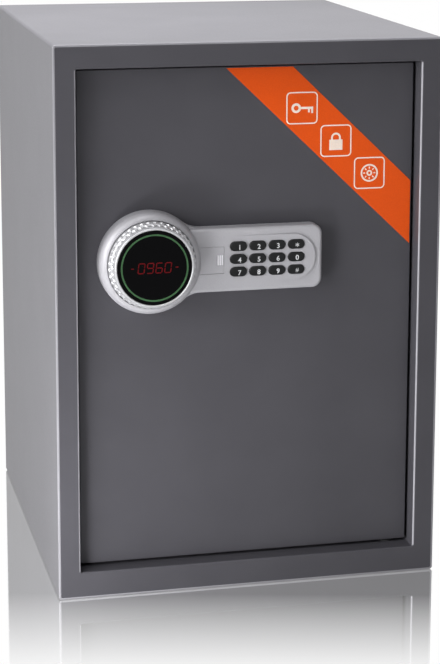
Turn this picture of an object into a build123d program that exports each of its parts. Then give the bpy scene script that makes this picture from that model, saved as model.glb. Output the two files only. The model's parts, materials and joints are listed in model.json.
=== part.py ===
from build123d import *
import math
import os

os.makedirs("parts", exist_ok=True)

# Cabinet: a folded steel wrap, closed by a front frame and a back panel
cabinet_width = 352.0
cabinet_depth = 385.0
cabinet_height = 500.0
wall = 2.0                  # sheet of the wrap and the back panel
bend_radius = 3.0           # outside bend along the four long edges
edge_radius = 1.2           # softened front edge of the wrap
sheet_corner = 2.0          # corners of the sheets that sit inside the wrap

# Front frame, whose inner edges are folded back to line the door opening
frame_side = 20.0
frame_top = 21.5
frame_bottom = 24.5
frame_sheet = 2.0
frame_return = 34.0         # depth of the folded lining
frame_fold = 1.5            # softened fold at the opening's front edge
opening_corner = 1.5

# Holes for fastening the safe to a floor and a wall
anchor_radius = 6.0
floor_anchor_spacing = 200.0
wall_anchor_spacing = 200.0
wall_anchor_height = 380.0
mat_thick = 3.0
mat_gap = 1.0
mat_hole_clearance = 2.0

# Shelf on two rails
shelf_height = 245.0
shelf_sheet = 1.5
shelf_lip = 14.0
shelf_side_gap = 1.5
shelf_front_gap = 14.0      # behind the door's inner cover
rail_width = 14.0
rail_drop = 16.0
rail_sheet = 2.0

# Door
door_recess = 16.0          # door face behind the frame's face
door_thick = 4.0
door_gap = 2.5
door_edge_radius = 0.8

# Hidden pivot hinge
pivot_inset = 16.5          # from the door's hinge edge
pivot_setback = 8.0         # behind the door's face
pin_radius = 3.0
pin_clearance = 0.05
pin_reach = 3.0             # beyond the frame's lining
pin_tip = 0.8               # bevel at the ends of pins
bush_radius = 5.0
bush_flange_radius = 7.0
bush_flange = 1.0
block_half = 9.5
block_height = 24.0

# Inner cover of the door
pan_sheet = 1.5
pan_flange = 8.0
pan_margin = 3.0
pan_corner = 4.0
pan_clearance = 5.0         # behind the bolts
screw_radius = 2.0
screw_head_radius = 3.4
screw_head = 2.2
screw_bevel = 0.7
screw_fit = 0.05

# Lock axis
lock_inset = 65.4           # from the opening's edge to the knob's axis
lock_z = 304.8

# Bolt work
bolt_radius = 7.0
bolt_gap = 2.0              # behind the frame's lining
bolt_spacing = 120.0
bolt_proud = 2.0            # beyond the inner cover when drawn back
bolt_tip = 1.5
crank = 16.0                # radius of the cam's pin
turn_half = 35.0            # degrees each side of upright
cam_pin_radius = 3.0
cam_thick = 4.0
cam_hub_radius = 13.0
cam_gap = 0.8
carriage_thick = 3.0
carriage_reach = 14.5       # from the knob's axis to the bolts' feet
carriage_width = 46.0
carriage_end = 14.0
carriage_corner = 5.0
ear_thick = 3.0
slide_clearance = 0.3
post_radius = 4.0
post_shoulder_radius = 7.0
post_head = 2.0
post_inset = 12.0
post_spacing = 140.0

# Solenoid that blocks the carriage
solenoid_width = 24.0
solenoid_height = 30.0
solenoid_gap = 1.5
bracket_sheet = 2.0
plunger_radius = 4.0
plunger_clearance = 0.2
plunger_stroke = 5.0
plunger_gap = 1.0           # below the latch's finger
latch_drop = 38.0           # finger's tip below the knob's axis
latch_height = 22.0
latch_overlap = 10.0        # on the carriage
latch_finger = 9.0
latch_clearance = 0.8       # round the raised plunger

# Lock panel on the door's face
dome_radius = 46.0
dome_height = 18.0
dome_round = 8.4            # height of the rounded shoulder
dome_lip = 0.8
dome_bore_radius = 39.6
dome_floor = 14.7
dome_floor_thick = 1.5
panel_wall = 2.0
bar_height = 58.0
bar_thick = 13.0
bar_end = 157.0             # from the knob's axis to the bar's far end
bar_corner = 9.0
bar_round = 3.0
bar_blend = 26.0            # hollow curve between the dome and the bar
boss_radius = 4.0
boss_end_inset = 9.0
boss_side_inset = 5.0

# Knob, turned by its rim round a display that stays upright
knob_radius = 39.2          # at the foot of the cone
knob_neck_radius = 36.0     # at the top of the cone
knob_height = 32.0
knob_lift = 0.5             # above the dome's floor
knob_bore_radius = 33.5
knob_rim_radius = 35.2
knob_rim = 3.0
knob_web = 3.0
knob_foot = 1.5             # plain edge below the cone
knob_flutes = 40
flute_radius = 1.7
flute_depth = 0.9
knob_groove = 1.4           # ring round the cone, between two rows of flutes
knob_groove_depth = 8.0     # below the knob's face
sleeve_radius = 8.0
sleeve_bore_radius = 5.5
sleeve_fit = 0.05
sleeve_bush_radius = 11.0
sleeve_bush_flange = 1.5
hub_radius = 5.0
hub_bore_radius = 3.4
hub_flange = 2.0
hub_nut = 3.0
board_thick = 1.6
lens_thick = 2.5
lens_gap = 0.3
display_width = 45.0
display_height = 15.0
ring_outer_radius = 30.1
ring_width = 1.5
ring_depth = 1.0

# Keypad
key_length = 15.2
key_height = 8.2
key_pitch_x = 17.65
key_pitch_z = 11.55
key_start = 79.4            # from the knob's axis to the first column
key_rise = 0.5              # middle row above the knob's axis
key_top = 15.0
key_gap = 0.35
key_flange = 0.85
key_flange_thick = 1.0
key_round = 0.5
key_travel = 1.0
island_left = 66.8
island_right = 150.0
island_height = 42.0
island_lift = 1.3           # at its right end; its left end is flush with the bar
key_mat_thick = 1.0
key_mat_margin = 0.3
key_stop = 0.05             # between a key and its stop
board_margin = 1.4
board_post_radius = 1.3
board_post_z = 13.0

# Sliding cover over the emergency lock
cover_left = 46.3
cover_right = 66.3
cover_height = 24.0
cover_drop = 0.1            # below the bar's face
cover_face = 2.0
cover_tongue = 1.3
cover_tongue_side = 1.5
cover_tail = 3.0
cover_gap = 0.25
cover_travel = 18.0
cover_ribs = 3
cover_rib_width = 0.9
cover_rib_height = 10.0
cover_rib_depth = 0.8       # of the pocket that they stand in
guide_wall = 1.5
guide_lip = 1.5

# Emergency lock
barrel_radius = 8.5
barrel_face = 7.0
barrel_collar = 1.3
barrel_collar_thick = 1.5
barrel_tail = 1.5           # beyond the nut
plug_clearance = 0.05
plug_radius = 5.5
plug_recess = 0.3
plug_tail_radius = 3.0
plug_tail = 3.0
keyway_width = 1.2
keyway_length = 7.0
keyway_depth = 4.0
nut_radius = 11.5
nut_thick = 3.5
lever_length = 15.0
lever_width = 8.0
lever_thick = 2.0

# Battery box on the inner cover
battery_radius = 7.25
battery_length = 49.3
battery_pitch = 15.0
battery_count = 4
battery_cap_radius = 2.75
battery_cap = 1.2
battery_box_wall = 1.5
battery_box_inset = 64.5    # from the inner cover's hinge side to the box's middle
battery_box_z = 250.0
contact_sheet = 0.6
contact_room = 3.0
box_flange = 1.2
lid_overlap = 1.75
lid_rail = 2.0
lid_lip = 0.9
battery_fit = 0.2
spring_radius = 4.0
lid_sheet = 1.0
lid_face = 1.2
lid_step = 2.0
lid_gap = 0.3
lid_grooves = 5
lid_groove_pitch = 3.0
lid_groove_width = 1.2
lid_groove_depth = 0.6
lid_groove_length = 26.0

# Reset button and its board
reset_radius = 3.8
reset_proud = 1.5
reset_travel = 1.5
reset_drop = 56.0           # below the battery box's middle
reset_gap = 0.3
switch_side = 9.0
control_width = 56.0
control_height = 34.0
control_post_radius = 3.0
control_post_inset = 4.5

# Decorative band across the door's upper corner
band_outer = 114.0          # down the side, from the opening's corner
band_inner = 172.3
band_lean = 1.043           # reach along the top for each millimetre down the side
band_thick = 0.2
band_margin = 0.5

# Places worked out from the sizes above
half_width = cabinet_width / 2
half_height = cabinet_height / 2
front_y = -cabinet_depth / 2
back_y = cabinet_depth / 2
opening_half = half_width - frame_side
opening_bottom = frame_bottom
opening_top = cabinet_height - frame_top
opening_mid = (opening_bottom + opening_top) / 2
opening_height = opening_top - opening_bottom
door_face_y = front_y + door_recess
door_back_y = door_face_y + door_thick
door_half = opening_half - door_gap
door_bottom = opening_bottom + door_gap
door_top = opening_top - door_gap
pivot_x = door_half - pivot_inset
pivot_y = door_face_y + pivot_setback
lock_x = -opening_half + lock_inset
bolt_y = front_y + frame_return + bolt_gap + bolt_radius
carriage_back_y = bolt_y - bolt_radius
carriage_front_y = carriage_back_y - carriage_thick
cam_back_y = carriage_front_y - cam_gap
pan_back_y = bolt_y + bolt_radius + pan_clearance + pan_sheet
pan_left = -door_half + pan_margin + pan_flange
pan_right = pivot_x - block_half - pan_margin - pan_flange
pan_bottom = door_bottom + pan_margin + pan_flange
pan_top = door_top - pan_margin - pan_flange
battery_box_x = pan_right - battery_box_inset
bolt_throw = 2 * crank * math.sin(math.radians(turn_half))


def facing(y):
    # upright plane at y, seen from the front: x to the right, z up, and out of the door
    return Plane(origin=(0, y, 0), x_dir=(1, 0, 0), z_dir=(0, -1, 0))


def panel(height):
    # the same plane at a height above the door's face, centred on the knob's axis
    return Plane(origin=(lock_x, door_face_y - height, lock_z), x_dir=(1, 0, 0), z_dir=(0, -1, 0))


# plane through the knob's axis: x is the radius, y the height above the door's face
axial = Plane(origin=(lock_x, door_face_y, lock_z), x_dir=(1, 0, 0), z_dir=(0, 0, -1))
knob_axis = Axis((lock_x, door_face_y, lock_z), (0, -1, 0))


def middle(low, high):
    return (low + high) / 2


# Cabinet wrap, with two anchor holes in its floor
with BuildPart() as cabinet_wrap:
    with BuildSketch(facing(back_y)):
        with Locations((0, half_height)):
            RectangleRounded(cabinet_width, cabinet_height, bend_radius)
            RectangleRounded(
                cabinet_width - 2 * wall, cabinet_height - 2 * wall, bend_radius - wall, mode=Mode.SUBTRACT
            )
    extrude(amount=cabinet_depth)
    fillet(cabinet_wrap.faces().sort_by(Axis.Y)[0].outer_wire().edges(), edge_radius)
    with BuildSketch(Plane.XY):
        with Locations((-floor_anchor_spacing / 2, 0), (floor_anchor_spacing / 2, 0)):
            Circle(anchor_radius)
    extrude(amount=wall, mode=Mode.SUBTRACT)
cabinet_wrap.part.label = "cabinet_wrap"
export_step(cabinet_wrap.part, "parts/cabinet_wrap.step")

# Back panel, flush inside the wrap, with two wall anchor holes
with BuildPart() as back_panel:
    with BuildSketch(facing(back_y)):
        with Locations((0, half_height)):
            RectangleRounded(cabinet_width - 2 * wall, cabinet_height - 2 * wall, sheet_corner)
        with Locations(
            (-wall_anchor_spacing / 2, wall_anchor_height), (wall_anchor_spacing / 2, wall_anchor_height)
        ):
            Circle(anchor_radius, mode=Mode.SUBTRACT)
    extrude(amount=wall)
back_panel.part.label = "back_panel"
export_step(back_panel.part, "parts/back_panel.step")

# Front frame: a face plate flush with the wrap's edge, and the lining folded back from it
with BuildPart() as front_frame:
    with BuildSketch(facing(front_y + frame_sheet)):
        with Locations((0, half_height)):
            RectangleRounded(cabinet_width - 2 * wall, cabinet_height - 2 * wall, sheet_corner)
    extrude(amount=frame_sheet)
    with BuildSketch(facing(front_y + frame_return)):
        with Locations((0, opening_mid)):
            RectangleRounded(
                2 * (opening_half + frame_sheet),
                opening_height + 2 * frame_sheet,
                opening_corner + frame_sheet,
            )
    extrude(amount=frame_return)
    with BuildSketch(facing(front_y + frame_return)):
        with Locations((0, opening_mid)):
            RectangleRounded(2 * opening_half, opening_height, opening_corner)
    extrude(amount=frame_return, mode=Mode.SUBTRACT)
    fillet(front_frame.faces().sort_by(Axis.Y)[0].inner_wires()[0].edges(), frame_fold)
    for lining_z in (opening_top, opening_bottom - frame_sheet):
        with BuildSketch(Plane.XY.offset(lining_z)):
            with Locations((pivot_x, pivot_y)):
                Circle(bush_radius)
        extrude(amount=frame_sheet, mode=Mode.SUBTRACT)
front_frame.part.label = "front_frame"
export_step(front_frame.part, "parts/front_frame.step")

# Flanged plastic bushes that the hinge pins turn in
with BuildPart() as hinge_bushes:
    for face_z, outward in ((opening_top, 1), (opening_bottom, -1)):
        with BuildSketch(Plane.XY.offset(face_z)):
            with Locations((pivot_x, pivot_y)):
                Circle(bush_radius)
        extrude(amount=outward * frame_sheet)
        with BuildSketch(Plane.XY.offset(face_z)):
            with Locations((pivot_x, pivot_y)):
                Circle(bush_flange_radius)
        extrude(amount=-outward * bush_flange)
        with BuildSketch(Plane.XY.offset(face_z - outward * bush_flange)):
            with Locations((pivot_x, pivot_y)):
                Circle(pin_radius + pin_clearance)
        extrude(amount=outward * (bush_flange + frame_sheet), mode=Mode.SUBTRACT)
hinge_bushes.part.label = "hinge_bushes"
export_step(hinge_bushes.part, "parts/hinge_bushes.step")

# Felt mat on the floor, cut out over the anchor holes
mat_front_y = front_y + frame_return + mat_gap
mat_back_y = back_y - wall - mat_gap
with BuildPart() as floor_mat:
    with BuildSketch(Plane.XY.offset(wall)):
        with Locations((0, middle(mat_front_y, mat_back_y))):
            RectangleRounded(
                cabinet_width - 2 * (wall + mat_gap), mat_back_y - mat_front_y, sheet_corner
            )
        with Locations((-floor_anchor_spacing / 2, 0), (floor_anchor_spacing / 2, 0)):
            Circle(anchor_radius + mat_hole_clearance, mode=Mode.SUBTRACT)
    extrude(amount=mat_thick)
floor_mat.part.label = "floor_mat"
export_step(floor_mat.part, "parts/floor_mat.step")

# Angle rails welded to the side walls, and the shelf lying on them
shelf_front_y = pan_back_y + shelf_front_gap
shelf_back_y = back_y - wall - shelf_side_gap
inner_half = half_width - wall
with BuildPart() as shelf_rails:
    for side in (-1, 1):
        with BuildSketch(facing(shelf_back_y)):
            with BuildLine():
                Polyline(
                    (side * inner_half, shelf_height),
                    (side * (inner_half - rail_width), shelf_height),
                    (side * (inner_half - rail_width), shelf_height - rail_sheet),
                    (side * (inner_half - rail_sheet), shelf_height - rail_sheet),
                    (side * (inner_half - rail_sheet), shelf_height - rail_drop),
                    (side * inner_half, shelf_height - rail_drop),
                    close=True,
                )
            make_face()
        extrude(amount=shelf_back_y - shelf_front_y)
shelf_rails.part.label = "shelf_rails"
export_step(shelf_rails.part, "parts/shelf_rails.step")

shelf_half = inner_half - shelf_side_gap
lip_half = inner_half - rail_width - shelf_side_gap
with BuildPart() as shelf:
    with BuildSketch(Plane.XY.offset(shelf_height)):
        with Locations((0, middle(shelf_front_y, shelf_back_y))):
            Rectangle(2 * shelf_half, shelf_back_y - shelf_front_y)
    extrude(amount=shelf_sheet)
    with BuildSketch(facing(shelf_front_y + shelf_sheet)):
        with Locations((0, shelf_height + shelf_sheet - shelf_lip / 2)):
            Rectangle(2 * lip_half, shelf_lip)
    extrude(amount=shelf_sheet)
shelf.part.label = "shelf"
export_step(shelf.part, "parts/shelf.step")

# Door plate with its cut-outs for the knob's shaft, the emergency lock, a cable and screws
lock_bore_x = middle(cover_left, cover_right)
keypad_mid = key_start + 1.5 * key_pitch_x
boss_z = bar_height / 2 - boss_side_inset
boss_places = [
    (boss_x, side * boss_z)
    for boss_x in (cover_right + boss_end_inset - panel_wall, bar_end - boss_end_inset)
    for side in (-1, 1)
]
pan_mid_x = middle(pan_left, pan_right)
pan_mid_z = middle(pan_bottom, pan_top)
pan_screw_grid = GridLocations(
    pan_right - pan_left + pan_flange, (pan_top - pan_bottom + pan_flange) / 2, 2, 3
)
pan_screw_places = [
    (pan_mid_x + place.position.X, pan_mid_z + place.position.Y) for place in pan_screw_grid
]
post_x = lock_x - carriage_reach + post_inset
post_places = [(post_x, lock_z - post_spacing / 2), (post_x, lock_z + post_spacing / 2)]
with BuildPart() as door_plate:
    with BuildSketch(facing(door_back_y)):
        with Locations((0, middle(door_bottom, door_top))):
            RectangleRounded(2 * door_half, door_top - door_bottom, opening_corner)
    extrude(amount=door_thick)
    fillet(door_plate.faces().sort_by(Axis.Y)[0].outer_wire().edges(), door_edge_radius)
    with BuildSketch(panel(-door_thick)):
        Circle(sleeve_bush_radius)
        with Locations((lock_bore_x, 0)):
            Circle(barrel_radius + slide_clearance)
        with Locations((keypad_mid, -key_pitch_z / 2)):
            SlotOverall(key_length, key_height)
        with Locations(*boss_places):
            Circle(screw_radius + screw_fit)
    extrude(amount=door_thick, mode=Mode.SUBTRACT)
    with BuildSketch(facing(door_back_y)):
        with Locations(*pan_screw_places):
            Circle(screw_radius + screw_fit)
    extrude(amount=door_thick - door_edge_radius, mode=Mode.SUBTRACT)
door_plate.part.label = "door_plate"
export_step(door_plate.part, "parts/door_plate.step")

# Hinge blocks welded behind the plate, and the pins pressed into them
with BuildPart() as hinge_blocks:
    for block_z in (door_top - block_height, door_bottom):
        with BuildSketch(Plane.XY.offset(block_z)):
            with Locations((pivot_x, middle(door_back_y, pivot_y + bush_flange_radius))):
                Rectangle(2 * block_half, pivot_y + bush_flange_radius - door_back_y)
            with Locations((pivot_x, pivot_y)):
                Circle(pin_radius, mode=Mode.SUBTRACT)
        extrude(amount=block_height)
hinge_blocks.part.label = "hinge_blocks"
export_step(hinge_blocks.part, "parts/hinge_blocks.step")

with BuildPart() as hinge_pins:
    for root_z, length in (
        (door_top - block_height, block_height + door_gap + frame_sheet + pin_reach),
        (door_bottom + block_height, -block_height - door_gap - frame_sheet - pin_reach),
    ):
        with BuildSketch(Plane.XY.offset(root_z)):
            with Locations((pivot_x, pivot_y)):
                Circle(pin_radius)
        extrude(amount=length)
    chamfer(hinge_pins.edges().group_by(Axis.Z)[-1] + hinge_pins.edges().group_by(Axis.Z)[0], pin_tip)
hinge_pins.part.label = "hinge_pins"
export_step(hinge_pins.part, "parts/hinge_pins.step")

# Inner cover of the door: a folded pan with a screwed flange, bolt holes and board posts
battery_box_width = battery_length + battery_cap + 2 * (contact_room + battery_box_wall)
battery_box_height = battery_count * battery_pitch + 2 * battery_box_wall
reset_z = battery_box_z - reset_drop
switch_face_y = pan_back_y - pan_sheet - 2 * reset_travel - reset_gap
control_back_y = switch_face_y - switch_side
control_posts = GridLocations(
    control_width - 2 * control_post_inset, control_height - 2 * control_post_inset, 2, 2
)
control_places = [
    (battery_box_x + place.position.X, reset_z + place.position.Y) for place in control_posts
]
with BuildPart() as door_pan:
    with BuildSketch(facing(door_back_y + pan_sheet)):
        with Locations((pan_mid_x, pan_mid_z)):
            RectangleRounded(
                pan_right - pan_left + 2 * pan_flange, pan_top - pan_bottom + 2 * pan_flange, pan_corner
            )
    extrude(amount=pan_sheet)
    with BuildSketch(facing(pan_back_y)):
        with Locations((pan_mid_x, pan_mid_z)):
            RectangleRounded(pan_right - pan_left, pan_top - pan_bottom, pan_corner)
    extrude(amount=pan_back_y - door_back_y)
    fillet(door_pan.faces().sort_by(Axis.Y)[-1].outer_wire().edges(), pan_sheet)
    with BuildSketch(facing(pan_back_y - pan_sheet)):
        with Locations((pan_mid_x, pan_mid_z)):
            RectangleRounded(
                pan_right - pan_left - 2 * pan_sheet,
                pan_top - pan_bottom - 2 * pan_sheet,
                pan_corner - pan_sheet,
            )
    extrude(amount=pan_back_y - pan_sheet - door_back_y, mode=Mode.SUBTRACT)
    with BuildSketch(facing(pan_back_y)):
        with Locations((lock_x, lock_z)):
            Circle(hub_radius + screw_fit)
        with Locations((battery_box_x, battery_box_z)):
            Rectangle(battery_box_width, battery_box_height)
        with Locations((battery_box_x, reset_z)):
            Circle(reset_radius + reset_gap)
    extrude(amount=pan_sheet, mode=Mode.SUBTRACT)
    with BuildSketch(facing(door_back_y + pan_sheet)):
        with Locations(*pan_screw_places):
            Circle(screw_radius + screw_fit)
    extrude(amount=pan_sheet, mode=Mode.SUBTRACT)
    with BuildSketch(Plane.YZ.offset(pan_left)):
        with Locations(
            (bolt_y, lock_z - bolt_spacing), (bolt_y, lock_z), (bolt_y, lock_z + bolt_spacing)
        ):
            Circle(bolt_radius + slide_clearance)
    extrude(amount=pan_sheet, mode=Mode.SUBTRACT)
    with BuildSketch(facing(pan_back_y - pan_sheet)):
        with Locations(*control_places):
            Circle(control_post_radius)
    extrude(amount=pan_back_y - pan_sheet - control_back_y)
door_pan.part.label = "door_pan"
export_step(door_pan.part, "parts/door_pan.step")

with BuildPart() as pan_screws:
    with BuildSketch(facing(door_back_y + pan_sheet)):
        with Locations(*pan_screw_places):
            Circle(screw_radius)
    extrude(amount=pan_sheet + door_thick / 2)
    with BuildSketch(facing(door_back_y + pan_sheet + screw_head)):
        with Locations(*pan_screw_places):
            Circle(screw_head_radius)
    extrude(amount=screw_head)
    chamfer(pan_screws.edges().group_by(Axis.Y)[-1], screw_bevel)
pan_screws.part.label = "pan_screws"
export_step(pan_screws.part, "parts/pan_screws.step")

# Lock panel: a round dome with a bar, one moulded shell with a raised keypad field
inner_bar = bar_thick - panel_wall
dome_wall = dome_height - dome_round
inner_dome = dome_floor - dome_floor_thick
island_radius = island_height / 2
guide_top = bar_thick - cover_drop - cover_face
guide_bottom = guide_top - cover_tongue - 2 * cover_gap
guide_inner = cover_height / 2 + cover_tongue_side + cover_gap
guide_left = cover_left - cover_tail - cover_travel - cover_gap
guide_right = cover_right + cover_gap
key_bottom = inner_bar - key_stop - key_flange_thick
key_mat_top = key_bottom - key_travel - key_mat_margin
board_face = key_mat_top - key_mat_thick
key_mat_half = key_length / 2 + key_flange + key_mat_margin
key_mat_left = key_start - key_mat_half
key_mat_right = key_start + 3 * key_pitch_x + key_mat_half
key_mat_height = 2 * key_pitch_z + key_height + 2 * (key_flange + key_mat_margin)
board_left = key_mat_left - 2 * board_post_radius - board_margin
board_right = key_mat_right + 2 * board_post_radius + board_margin
board_post_places = [
    (post_side, key_rise + side * board_post_z)
    for post_side in (
        key_mat_left - board_post_radius - board_margin / 2,
        key_mat_right + board_post_radius + board_margin / 2,
    )
    for side in (-1, 1)
]
key_places = [
    (key_start + column * key_pitch_x, key_rise + row * key_pitch_z)
    for row in (1, 0, -1)
    for column in range(4)
]
with BuildPart() as key_field:
    with BuildSketch(panel(bar_thick)):
        with Locations((middle(island_left, island_right - island_radius), key_rise)):
            Rectangle(island_right - island_radius - island_left, island_height)
        with Locations((island_right - island_radius, key_rise)):
            Circle(island_radius)
    extrude(amount=island_lift)
    # its face slopes, flush with the bar at the left
    with BuildSketch(Plane.XY.offset(lock_z + key_rise - island_radius)):
        with BuildLine():
            Polyline(
                (lock_x + island_left, door_face_y - bar_thick),
                (lock_x + island_left, door_face_y - bar_thick - island_lift),
                (lock_x + island_right, door_face_y - bar_thick - island_lift),
                close=True,
            )
        make_face()
    extrude(amount=island_height, mode=Mode.SUBTRACT)

with BuildPart() as panel_housing:
    with BuildSketch(panel(0)) as bar_outline:
        with Locations((bar_end / 2, 0)):
            Rectangle(bar_end, bar_height)
        fillet(bar_outline.vertices().group_by(Axis.X)[-1], bar_corner)
    extrude(amount=bar_thick)
    fillet(panel_housing.faces().sort_by(Axis.Y)[0].outer_wire().edges(), bar_round)
    # the dome meets the bar in two hollow curves
    with BuildSketch(panel(0)) as blend_outline:
        Circle(dome_radius)
        with Locations((bar_end / 4, 0)):
            Rectangle(bar_end / 2, bar_height)
        fillet(
            [
                corner
                for corner in blend_outline.vertices()
                if abs(corner.X) < dome_radius and abs(abs(corner.Y) - bar_height / 2) < panel_wall
            ],
            bar_blend,
        )
    extrude(amount=dome_wall)
    with BuildSketch(axial):
        with BuildLine():
            Polyline(
                (dome_radius, dome_wall),
                (dome_radius, 0),
                (0, 0),
                (0, dome_height),
                (dome_bore_radius + dome_lip, dome_height),
            )
            TangentArc(
                (dome_radius, dome_wall),
                (dome_bore_radius + dome_lip, dome_height),
                tangent=(0, 1),
            )
        make_face()
    revolve(axis=knob_axis)
    add(key_field.part)
    # hollow inside, open towards the door
    with BuildSketch(panel(0)):
        with Locations((bar_end / 2, 0)):
            RectangleRounded(bar_end - 2 * panel_wall, bar_height - 2 * panel_wall, bar_corner - panel_wall)
    extrude(amount=inner_bar, mode=Mode.SUBTRACT)
    with BuildSketch(panel(0)):
        Circle(dome_radius - panel_wall)
    extrude(amount=inner_dome, mode=Mode.SUBTRACT)
    with BuildSketch(panel(dome_floor)):
        Circle(dome_bore_radius)
    extrude(amount=dome_height - dome_floor, mode=Mode.SUBTRACT)
    with BuildSketch(panel(inner_dome)):
        Circle(sleeve_radius + 2 * slide_clearance)
    extrude(amount=dome_floor_thick, mode=Mode.SUBTRACT)
    # key holes, and the window that the sliding cover closes
    with BuildSketch(panel(inner_bar)):
        with Locations(*key_places):
            SlotOverall(key_length + 2 * key_gap, key_height + 2 * key_gap)
    extrude(amount=panel_wall + island_lift, mode=Mode.SUBTRACT)
    with BuildSketch(panel(guide_bottom)):
        with Locations((middle(guide_left, guide_right), 0)):
            Rectangle(guide_right - guide_left, cover_height + 2 * cover_gap)
    extrude(amount=inner_dome - guide_bottom, mode=Mode.SUBTRACT)
    with BuildSketch(panel(guide_bottom)):
        with Locations((middle(guide_left, guide_right), 0)):
            Rectangle(guide_right - guide_left, 2 * guide_inner)
    extrude(amount=inner_bar - guide_bottom, mode=Mode.SUBTRACT)
    # channels that the cover's tongues slide in, under the bar's face
    for side in (-1, 1):
        with BuildSketch(Plane.YZ.offset(lock_x + guide_left)):
            with BuildLine():
                Polyline(
                    (door_face_y - inner_bar, lock_z + side * guide_inner),
                    (door_face_y - guide_bottom, lock_z + side * guide_inner),
                    (door_face_y - guide_bottom, lock_z + side * (guide_inner - guide_lip)),
                    (door_face_y - guide_bottom + guide_wall, lock_z + side * (guide_inner - guide_lip)),
                    (door_face_y - guide_bottom + guide_wall, lock_z + side * (guide_inner + guide_wall)),
                    (door_face_y - inner_bar, lock_z + side * (guide_inner + guide_wall)),
                    close=True,
                )
            make_face()
        extrude(amount=guide_right - guide_left)
    # screw bosses, and posts that the keypad board is held against
    with BuildSketch(panel(0)):
        with Locations(*boss_places):
            Circle(boss_radius)
            Circle(screw_radius + screw_fit, mode=Mode.SUBTRACT)
    extrude(amount=inner_bar)
    with BuildSketch(panel(board_face)):
        with Locations(*board_post_places):
            Circle(board_post_radius)
    extrude(amount=inner_bar - board_face)
panel_housing.part.label = "panel_housing"
export_step(panel_housing.part, "parts/panel_housing.step")

# Screws that hold the lock panel from behind the door plate
with BuildPart() as panel_screws:
    with BuildSketch(panel(-door_thick)):
        with Locations(*boss_places):
            Circle(screw_radius)
    extrude(amount=door_thick + inner_bar / 2)
    with BuildSketch(panel(-door_thick - screw_head)):
        with Locations(*boss_places):
            Circle(screw_head_radius)
    extrude(amount=screw_head)
    chamfer(panel_screws.edges().group_by(Axis.Y)[-1], screw_bevel)
panel_screws.part.label = "panel_screws"
export_step(panel_screws.part, "parts/panel_screws.step")

# Keypad board with its rubber mat, held against the posts of the housing
with BuildPart() as keypad_board:
    with BuildSketch(panel(board_face - board_thick)):
        with Locations((middle(board_left, board_right), key_rise)):
            Rectangle(board_right - board_left, key_mat_height)
    extrude(amount=board_thick)
keypad_board.part.label = "keypad_board"
export_step(keypad_board.part, "parts/keypad_board.step")

with BuildPart() as key_mat:
    with BuildSketch(panel(board_face)):
        with Locations((middle(key_mat_left, key_mat_right), key_rise)):
            RectangleRounded(key_mat_right - key_mat_left, key_mat_height, key_mat_thick)
    extrude(amount=key_mat_thick)
key_mat.part.label = "key_mat"
export_step(key_mat.part, "parts/key_mat.step")

# Twelve keys, each with a flange that keeps it in the housing
key_names = ["1", "2", "3", "star", "4", "5", "6", "0", "7", "8", "9", "hash"]
for name, place in zip(key_names, key_places):
    with BuildPart() as key:
        with BuildSketch(panel(key_bottom)):
            with Locations(place):
                SlotOverall(key_length + 2 * key_flange, key_height + 2 * key_flange)
        extrude(amount=key_flange_thick)
        with BuildSketch(panel(key_bottom)):
            with Locations(place):
                SlotOverall(key_length, key_height)
        extrude(amount=key_top - key_bottom)
        chamfer(key.edges().group_by(Axis.Y)[0], key_round)
    key.part.label = "key_" + name
    export_step(key.part, "parts/key_" + name + ".step")

# Sliding cover of the emergency lock: a tongued plate with grip ribs in a shallow pocket
cover_top = bar_thick - cover_drop
tongue_bottom = guide_bottom + cover_gap
with BuildPart() as key_cover:
    with BuildSketch(panel(tongue_bottom)):
        with Locations((middle(cover_left - cover_tail, cover_right), 0)):
            Rectangle(cover_right - cover_left + cover_tail, cover_height + 2 * cover_tongue_side)
    extrude(amount=cover_tongue)
    with BuildSketch(panel(tongue_bottom)):
        with Locations((middle(cover_left - cover_tail, cover_right), 0)):
            Rectangle(cover_right - cover_left + cover_tail, cover_height)
    extrude(amount=cover_top - tongue_bottom)
    pocket_width = (2 * cover_ribs + 1) * cover_rib_width
    with BuildSketch(panel(cover_top)):
        with Locations((cover_right - cover_rib_width - pocket_width / 2, 0)):
            Rectangle(pocket_width, cover_rib_height)
            with GridLocations(2 * cover_rib_width, cover_rib_height, cover_ribs, 1):
                Rectangle(cover_rib_width, cover_rib_height, mode=Mode.SUBTRACT)
    extrude(amount=-cover_rib_depth, mode=Mode.SUBTRACT)
key_cover.part.label = "key_cover"
export_step(key_cover.part, "parts/key_cover.step")

# Emergency lock: barrel clamped through the plate by a nut, and its plug with a short lever
barrel_back = -door_thick - nut_thick - barrel_tail
with BuildPart() as lock_barrel:
    with BuildSketch(panel(barrel_back)):
        with Locations((lock_bore_x, 0)):
            Circle(barrel_radius)
    extrude(amount=barrel_face - barrel_back)
    chamfer(lock_barrel.edges().group_by(Axis.Y)[0], key_round)
    with BuildSketch(panel(0)):
        with Locations((lock_bore_x, 0)):
            Circle(barrel_radius + barrel_collar)
    extrude(amount=barrel_collar_thick)
    with BuildSketch(panel(barrel_back)):
        with Locations((lock_bore_x, 0)):
            Circle(plug_radius + plug_clearance)
    extrude(amount=barrel_face - barrel_back, mode=Mode.SUBTRACT)
lock_barrel.part.label = "lock_barrel"
export_step(lock_barrel.part, "parts/lock_barrel.step")

with BuildPart() as barrel_nut:
    with BuildSketch(panel(-door_thick - nut_thick)):
        with Locations((lock_bore_x, 0)):
            RegularPolygon(nut_radius, 6)
            Circle(barrel_radius + screw_fit, mode=Mode.SUBTRACT)
    extrude(amount=nut_thick)
barrel_nut.part.label = "barrel_nut"
export_step(barrel_nut.part, "parts/barrel_nut.step")

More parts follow.
